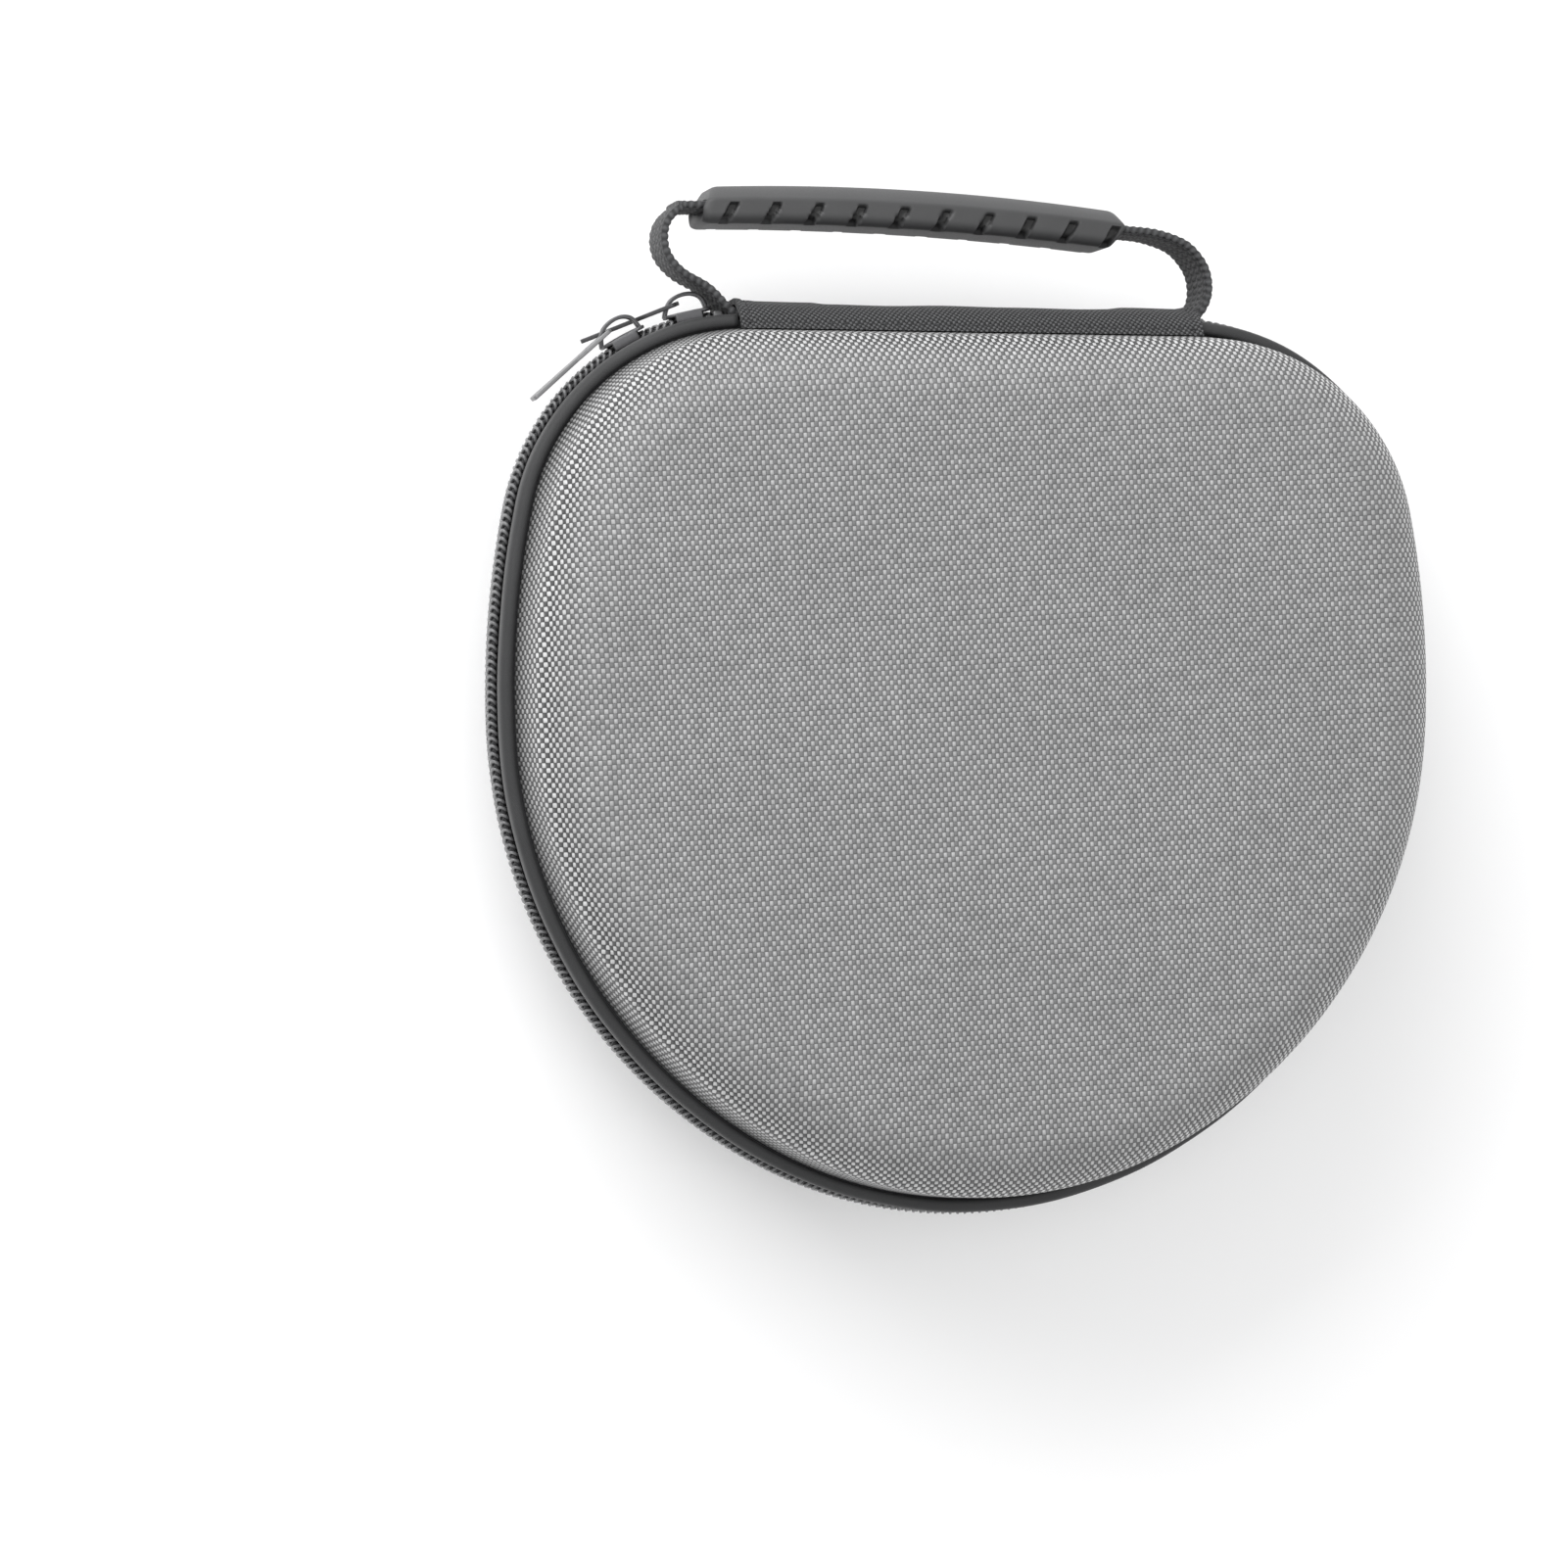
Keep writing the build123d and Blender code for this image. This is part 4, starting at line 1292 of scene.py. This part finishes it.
def ring_plate(outer, inner, y0, y1, b=0.2):
    """Bevelled plate with a hole; both loops have the same number of points."""
    n = len(outer)
    sec = []
    for k in range(4):
        a = pi / 2 * k / 3
        sec.append(("o", b * (1 - sin(a)), y0 + b * (1 - cos(a)), 1.0))
    sec = [("o", b * 3.0, y0, 0.0)] + sec
    sec = sec + [(s, i, y0 + y1 - y, e) for s, i, y, e in sec[::-1]]
    sec2 = [("i", i, y, e) for s, i, y, e in sec[::-1]]
    full = sec + sec2
    V, E = [], []
    for s, ins, yy, e in full:
        L = offset_loop(outer, ins) if s == "o" else offset_loop(inner, -ins)
        V.append(np.stack([L[:, 0], np.full(n, yy), L[:, 1]], 1))
        E.append(np.full(n, e))
    m = len(full)
    verts = np.concatenate(V)
    faces = []
    for j in range(m):
        j2 = (j + 1) % m
        for i in range(n):
            i2 = (i + 1) % n
            faces.append((j * n + i, j * n + i2, j2 * n + i2, j2 * n + i))
    return verts, faces, np.concatenate(E)


def strip_bar(path2, half_z, thick, b=0.16):
    """Flat bar bent along a path in (x, y), width along z, with rounded long edges."""
    t = np.gradient(path2, axis=0)
    t /= np.linalg.norm(t, axis=1)[:, None]
    nr = np.stack([-t[:, 1], t[:, 0]], 1)
    h = thick / 2
    prof, edge = [], []
    for cz, cy, a0 in ((half_z - b, h - b, 90), (half_z - b, -h + b, 0), (-half_z + b, -h + b, -90), (-half_z + b, h - b, -180)):
        for k in range(4):
            a = radians(a0 - 30 * k)
            prof.append((cz + b * cos(a), cy + b * sin(a)))
            edge.append(1.0)
        # flats between the edges
        nz, ny = {90: (half_z, 0), 0: (0, -h), -90: (-half_z, 0), -180: (0, h)}[a0]
        prof.append((nz, ny))
        edge.append(0.0)
    prof = np.array(prof)
    V = []
    for i in range(len(path2)):
        p = path2[i]
        V.append(np.stack([p[0] + nr[i, 0] * prof[:, 1], p[1] + nr[i, 1] * prof[:, 1], prof[:, 0]], 1))
    n, m = len(path2), len(prof)
    faces = grid_faces(n, m, False, True)
    faces += [tuple(range(m)), tuple((n - 1) * m + j for j in range(m))[::-1]]
    return np.concatenate(V), faces, np.tile(np.array(edge), n)


def merge3(parts):
    v, f = merge([(a, b) for a, b, _ in parts])
    return v, f, np.concatenate([e for _, _, e in parts])


def slider_local():
    out = []
    top = rounded_poly([(-5.5, -4.6), (5.5, -4.2), (5.5, 4.2), (-5.5, 4.6)], [2.3, 3.4, 3.4, 2.3])
    top = top if polygon_area(top) > 0 else top[::-1]
    out.append(plate(top, 5.08, 5.86, 0.26, dome=0.22))
    low = rounded_poly([(-5.1, -4.4), (5.1, -4.0), (5.1, 4.0), (-5.1, 4.4)], [2.2, 3.2, 3.2, 2.2])
    low = low if polygon_area(low) > 0 else low[::-1]
    out.append(plate(low, 0.32, 1.28, 0.2))
    nk = rounded_poly([(-4.1, -0.45), (-1.1, -0.3), (-1.1, 0.3), (-4.1, 0.45)], 0.2, 0.12)
    nk = nk if polygon_area(nk) > 0 else nk[::-1]
    out.append(plate(nk, 0.9, 5.4, 0.05))
    for sg in (1, -1):
        z0, z1 = sorted((sg * 3.7, sg * 4.58))
        side = rounded_poly([(-3.0, z0), (3.5, z0), (3.5, z1), (-3.0, z1)], 0.3, 0.15)
        side = side if polygon_area(side) > 0 else side[::-1]
        out.append(plate(side, 3.4, 5.5, 0.14))
    path = catmull([(5.4, 5.4), (4.5, 7.4), (2.9, 9.2), (0.3, 10.0), (-2.3, 9.75), (-4.2, 8.3), (-4.9, 5.4)], 8)
    out.append(strip_bar(path, 1.0, 0.92, 0.24))
    return merge3(out)


def polygon_area(P):
    x, y = P[:, 0], P[:, 1]
    return 0.5 * float(np.sum(x * np.roll(y, -1) - np.roll(x, -1) * y))


def on_chain(theta, v):
    t = radians(theta)
    rad = 56.5 - RIM
    o = np.array([CORNER[0] - rad * sin(t), CORNER[1] + rad * cos(t), MID])
    ex, ey, ez = np.array([-cos(t), -sin(t), 0]), np.array([-sin(t), cos(t), 0]), np.array([0, 0, -1.0])
    return o + v[:, 0:1] * ex + v[:, 1:2] * ey + v[:, 2:3] * ez


def chain_point(theta, s, r):
    t = radians(theta)
    rad = 56.5 - RIM + r
    return CORNER[0] - rad * sin(t) - s * cos(t), CORNER[1] + rad * cos(t) - s * sin(t)


def pull_local():
    SE, SL, PL = 1.6, 6.2, 24.5
    x0 = -SE - 1.0
    side = [(x0, 1.7), (x0 + 0.7, 2.5), (SL - SE + 0.2, 2.5), (8.0, 1.7), (x0 + PL, 3.2)]
    pol = [(x, -z) for x, z in side] + [(x, z) for x, z in side[::-1]]
    rad = [0.6, 0.6, 0.5, 1.0, 1.0, 1.0, 1.0, 0.5, 0.6, 0.6]
    outer = rounded_poly(pol, rad, 0.2)
    if polygon_area(outer) < 0:
        outer = outer[::-1]
    c = np.array([SL / 2 - SE, 0.0])
    inner = []
    hx, hz, cr = SL / 2, 1.7, 0.6
    for p in outer:
        d = p - c
        d = d / np.linalg.norm(d)
        # ray to a rounded rectangle, as a superellipse
        k = (abs(d[0] / hx) ** 7 + abs(d[1] / hz) ** 7) ** (-1 / 7)
        inner.append(c + d * k)
    return ring_plate(outer, np.array(inner), -0.5, 0.5, 0.17)


def place_pull(v, piv, direction, yaw):
    y = radians(yaw)
    d = radians(direction)
    x, yy, z = v[:, 0], v[:, 1], v[:, 2]
    x1, z1 = x * cos(y) + z * sin(y), -x * sin(y) + z * cos(y)
    X = x1 * cos(d) - yy * sin(d)
    Y = x1 * sin(d) + yy * cos(d)
    return np.stack([X + piv[0], Y + piv[1], z1 + MID], 1)


SV, SF, SE_ = slider_local()
PV, PF, PE = pull_local()
for nm, th, direction, yaw, mat in (("a", 12.6, 202.0, 26.0, "pull_dark"), ("b", 29.1, 222.0, 0.0, "pull_light")):
    s = fix_normals(new_object("slider_%s_metal" % nm, on_chain(th, SV), SF, None, {"edge": SE_}, mat=MAT["metal"], sharp=40))
    finish_piece(s, "slider_" + nm, "zip_metal", "slider_%s_body" % nm)
    piv = chain_point(th, 4.1, 7.8)
    p = fix_normals(new_object("pull_%s_metal" % nm, place_pull(PV, piv, direction, yaw), PF, None, {"edge": PE}, mat=MAT[mat], sharp=40))
    finish_piece(p, "pull_" + nm, "pull_dark" if nm == "a" else "pull_metal", "pull_%s_plate" % nm)


# --------------------------------------------------------------------------
# lid pocket
# --------------------------------------------------------------------------
def outline_half_width(y, r):
    """Half width of the outline at r, at height y."""
    best = 0.0
    for cx, cy, rad, t0, t1 in ARCS:
        rr = rad - RIM + r
        c = (y - TOP - cy) / rr
        if abs(c) <= 1:
            t = math.acos(c)
            if t0 - 1e-6 <= t <= t1 + 1e-6:
                best = max(best, cx + rr * sin(t))
    return best


POCKET_R = -4.8 - DRAFT * (31.0 - 11.5) - 1.4
POCKET_W = 31.4


def pocket():
    ys = np.linspace(-92.6, 15.5, 60)
    nx = 90
    V, U = [], []
    area = 0.0
    prev = None
    for side in (0.3, -0.3):
        for y in ys:
            X = outline_half_width(y, POCKET_R) - 0.1
            u = np.linspace(-1, 1, nx)
            x = X * u
            fill = (1 - u ** 2) * np.sin(np.clip((y + 93) / 108, 0, 1) * pi * 0.62) * 1.0
            gather = 0.28 * np.sin(x * 0.62 + 0.6 * np.sin(x * 0.21)) * smooth01((y + 20) / 34) * (1 - u ** 4)
            w = POCKET_W - 1.1 * fill + gather
            V.append(np.stack([x, np.full(nx, y), MID + w + side], 1))
            U.append(np.stack([x * 1.03, np.full(nx, y)], 1))
    V, U = np.concatenate(V), np.concatenate(U)
    ny = len(ys)
    n = ny * nx
    out = grid_faces(ny, nx)
    faces = out + [tuple(i + n for i in q[::-1]) for q in out]
    for i in range(ny - 1):
        for j in (0, nx - 1):
            faces.append((i * nx + j, (i + 1) * nx + j, n + (i + 1) * nx + j, n + i * nx + j))
    for j in range(nx - 1):
        for i in (0, ny - 1):
            faces.append((i * nx + j, i * nx + j + 1, n + i * nx + j + 1, n + i * nx + j))
    flat = sum((outline_half_width(y, POCKET_R) - 0.1) * 2 for y in np.linspace(-92.6, 15.5, 400)) * (108.1 / 400)
    return fix_normals(new_object("mesh_pocket_net", V, faces, U, mat=MAT["net"], sharp=60)), flat


pk, pk_area = pocket()
xs = np.arange(-99.4, 99.41, 0.45)
V, U, m = [], [], 0
prof = []
for k in range(20):
    a = 2 * pi * k / 20
    prof.append((4.0 * np.sign(cos(a)) * abs(cos(a)) ** 0.4, 0.8 * np.sign(sin(a)) * abs(sin(a)) ** 0.7))
prof = np.array(prof)
for x in xs:
    e = min(1.0, (99.5 - abs(x)) / 3.0)
    rip = 0.16 * sin(x * 2 * pi / 3.1) + 0.08 * sin(x * 1.33)
    hh = outline_half_width(18.3 + 4, POCKET_R)
    V.append(np.stack([np.full(20, x), 18.3 + prof[:, 0] * (1 - 0.012 * rip), MID + POCKET_W + prof[:, 1] * (0.75 + 0.25 * e) + 0.5 * rip * (np.abs(prof[:, 0]) < 3.9)], 1))
    U.append(np.stack([np.full(20, x), np.arange(20) * 0.9], 1))
V, U = np.concatenate(V), np.concatenate(U)
F = grid_faces(len(xs), 20, False, True)
F += [tuple(range(20)), tuple((len(xs) - 1) * 20 + j for j in range(20))[::-1]]
hem = fix_normals(new_object("pocket_elastic_hem", V, F, U, mat=MAT["elastic"]))
finish_piece(hem, "lid", "pocket_elastic", "pocket_hem")
finish_piece(pk, "lid", "mesh", "mesh_pocket")


# --------------------------------------------------------------------------
# floor, light, camera
# --------------------------------------------------------------------------
def make_floor():
    M = Mat("floor_paper", (0.9, 0.9, 0.9), rough=0.9, spec=0.1)
    vec = M.pos(10.0)
    M.color(M.mixc(M.noise(vec, 0.6, 2.0), (0.93, 0.93, 0.935), (0.96, 0.96, 0.96)))
    me = bpy.data.meshes.new("floor")
    me.from_pydata([(-3, -3, 0), (3, -3, 0), (3, 3, 0), (-3, 3, 0)], [], [(0, 1, 2, 3)])
    me.materials.append(M.m)
    ob = bpy.data.objects.new("floor", me)
    bpy.context.scene.collection.objects.link(ob)
    return ob


floor_ob = make_floor()
ANG, ELEV, DIST = radians(14.3), radians(0.5), 1.1
tgt = Vector((0.0, (TOP - 97.5) * 0.001, MID * 0.001))
b = Vector((-sin(ANG) * cos(ELEV), sin(ELEV), cos(ANG) * cos(ELEV)))
upv = Vector((0, 1, 0))
right = upv.cross(b).normalized()
up2 = b.cross(right).normalized()
cam_pos = tgt + b * DIST
aim = tgt - right * 0.0412 - up2 * 0.01336
zax = (cam_pos - aim).normalized()
xax = upv.cross(zax).normalized()
yax = zax.cross(xax)
roll = radians(0.0)
xr = xax * cos(roll) + yax * sin(roll)
yr = yax * cos(roll) - xax * sin(roll)
cam = bpy.data.cameras.new("camera")
cam.lens, cam.sensor_width = 106.5, 36.0
cam.clip_start, cam.clip_end = 0.05, 20
cob = bpy.data.objects.new("camera", cam)
bpy.context.scene.collection.objects.link(cob)
cob.matrix_world = Matrix.Translation(cam_pos) @ Matrix((xr, yr, zax)).transposed().to_4x4()
bpy.context.scene.camera = cob


def area_light(name, loc, look, size, power, color=(1, 1, 1)):
    l = bpy.data.lights.new(name, "AREA")
    l.shape = "RECTANGLE"
    l.size, l.size_y = size
    l.energy = power
    l.color = color
    o = bpy.data.objects.new(name, l)
    bpy.context.scene.collection.objects.link(o)
    d = (Vector(loc) - Vector(look)).normalized()
    o.location = loc
    o.rotation_mode = "QUATERNION"
    o.rotation_quaternion = d.to_track_quat("Z", "Y")
    return o


area_light("key", (-0.55, 0.85, 0.75), (0, 0.02, 0.04), (1.0, 0.8), 12.5)
area_light("fill", (-0.15, -0.1, 1.6), (0, 0, 0.04), (1.0, 1.0), 5.0)
area_light("side", (1.0, 0.25, 0.45), (0, 0, 0.04), (0.4, 0.8), 1.0)
world = bpy.data.worlds.new("studio")
bpy.context.scene.world = world
world.use_nodes = True
world.node_tree.nodes["Background"].inputs[0].default_value = (1, 1, 1, 1)
world.node_tree.nodes["Background"].inputs[1].default_value = 0.78
bpy.context.scene.view_settings.view_transform = "Standard"
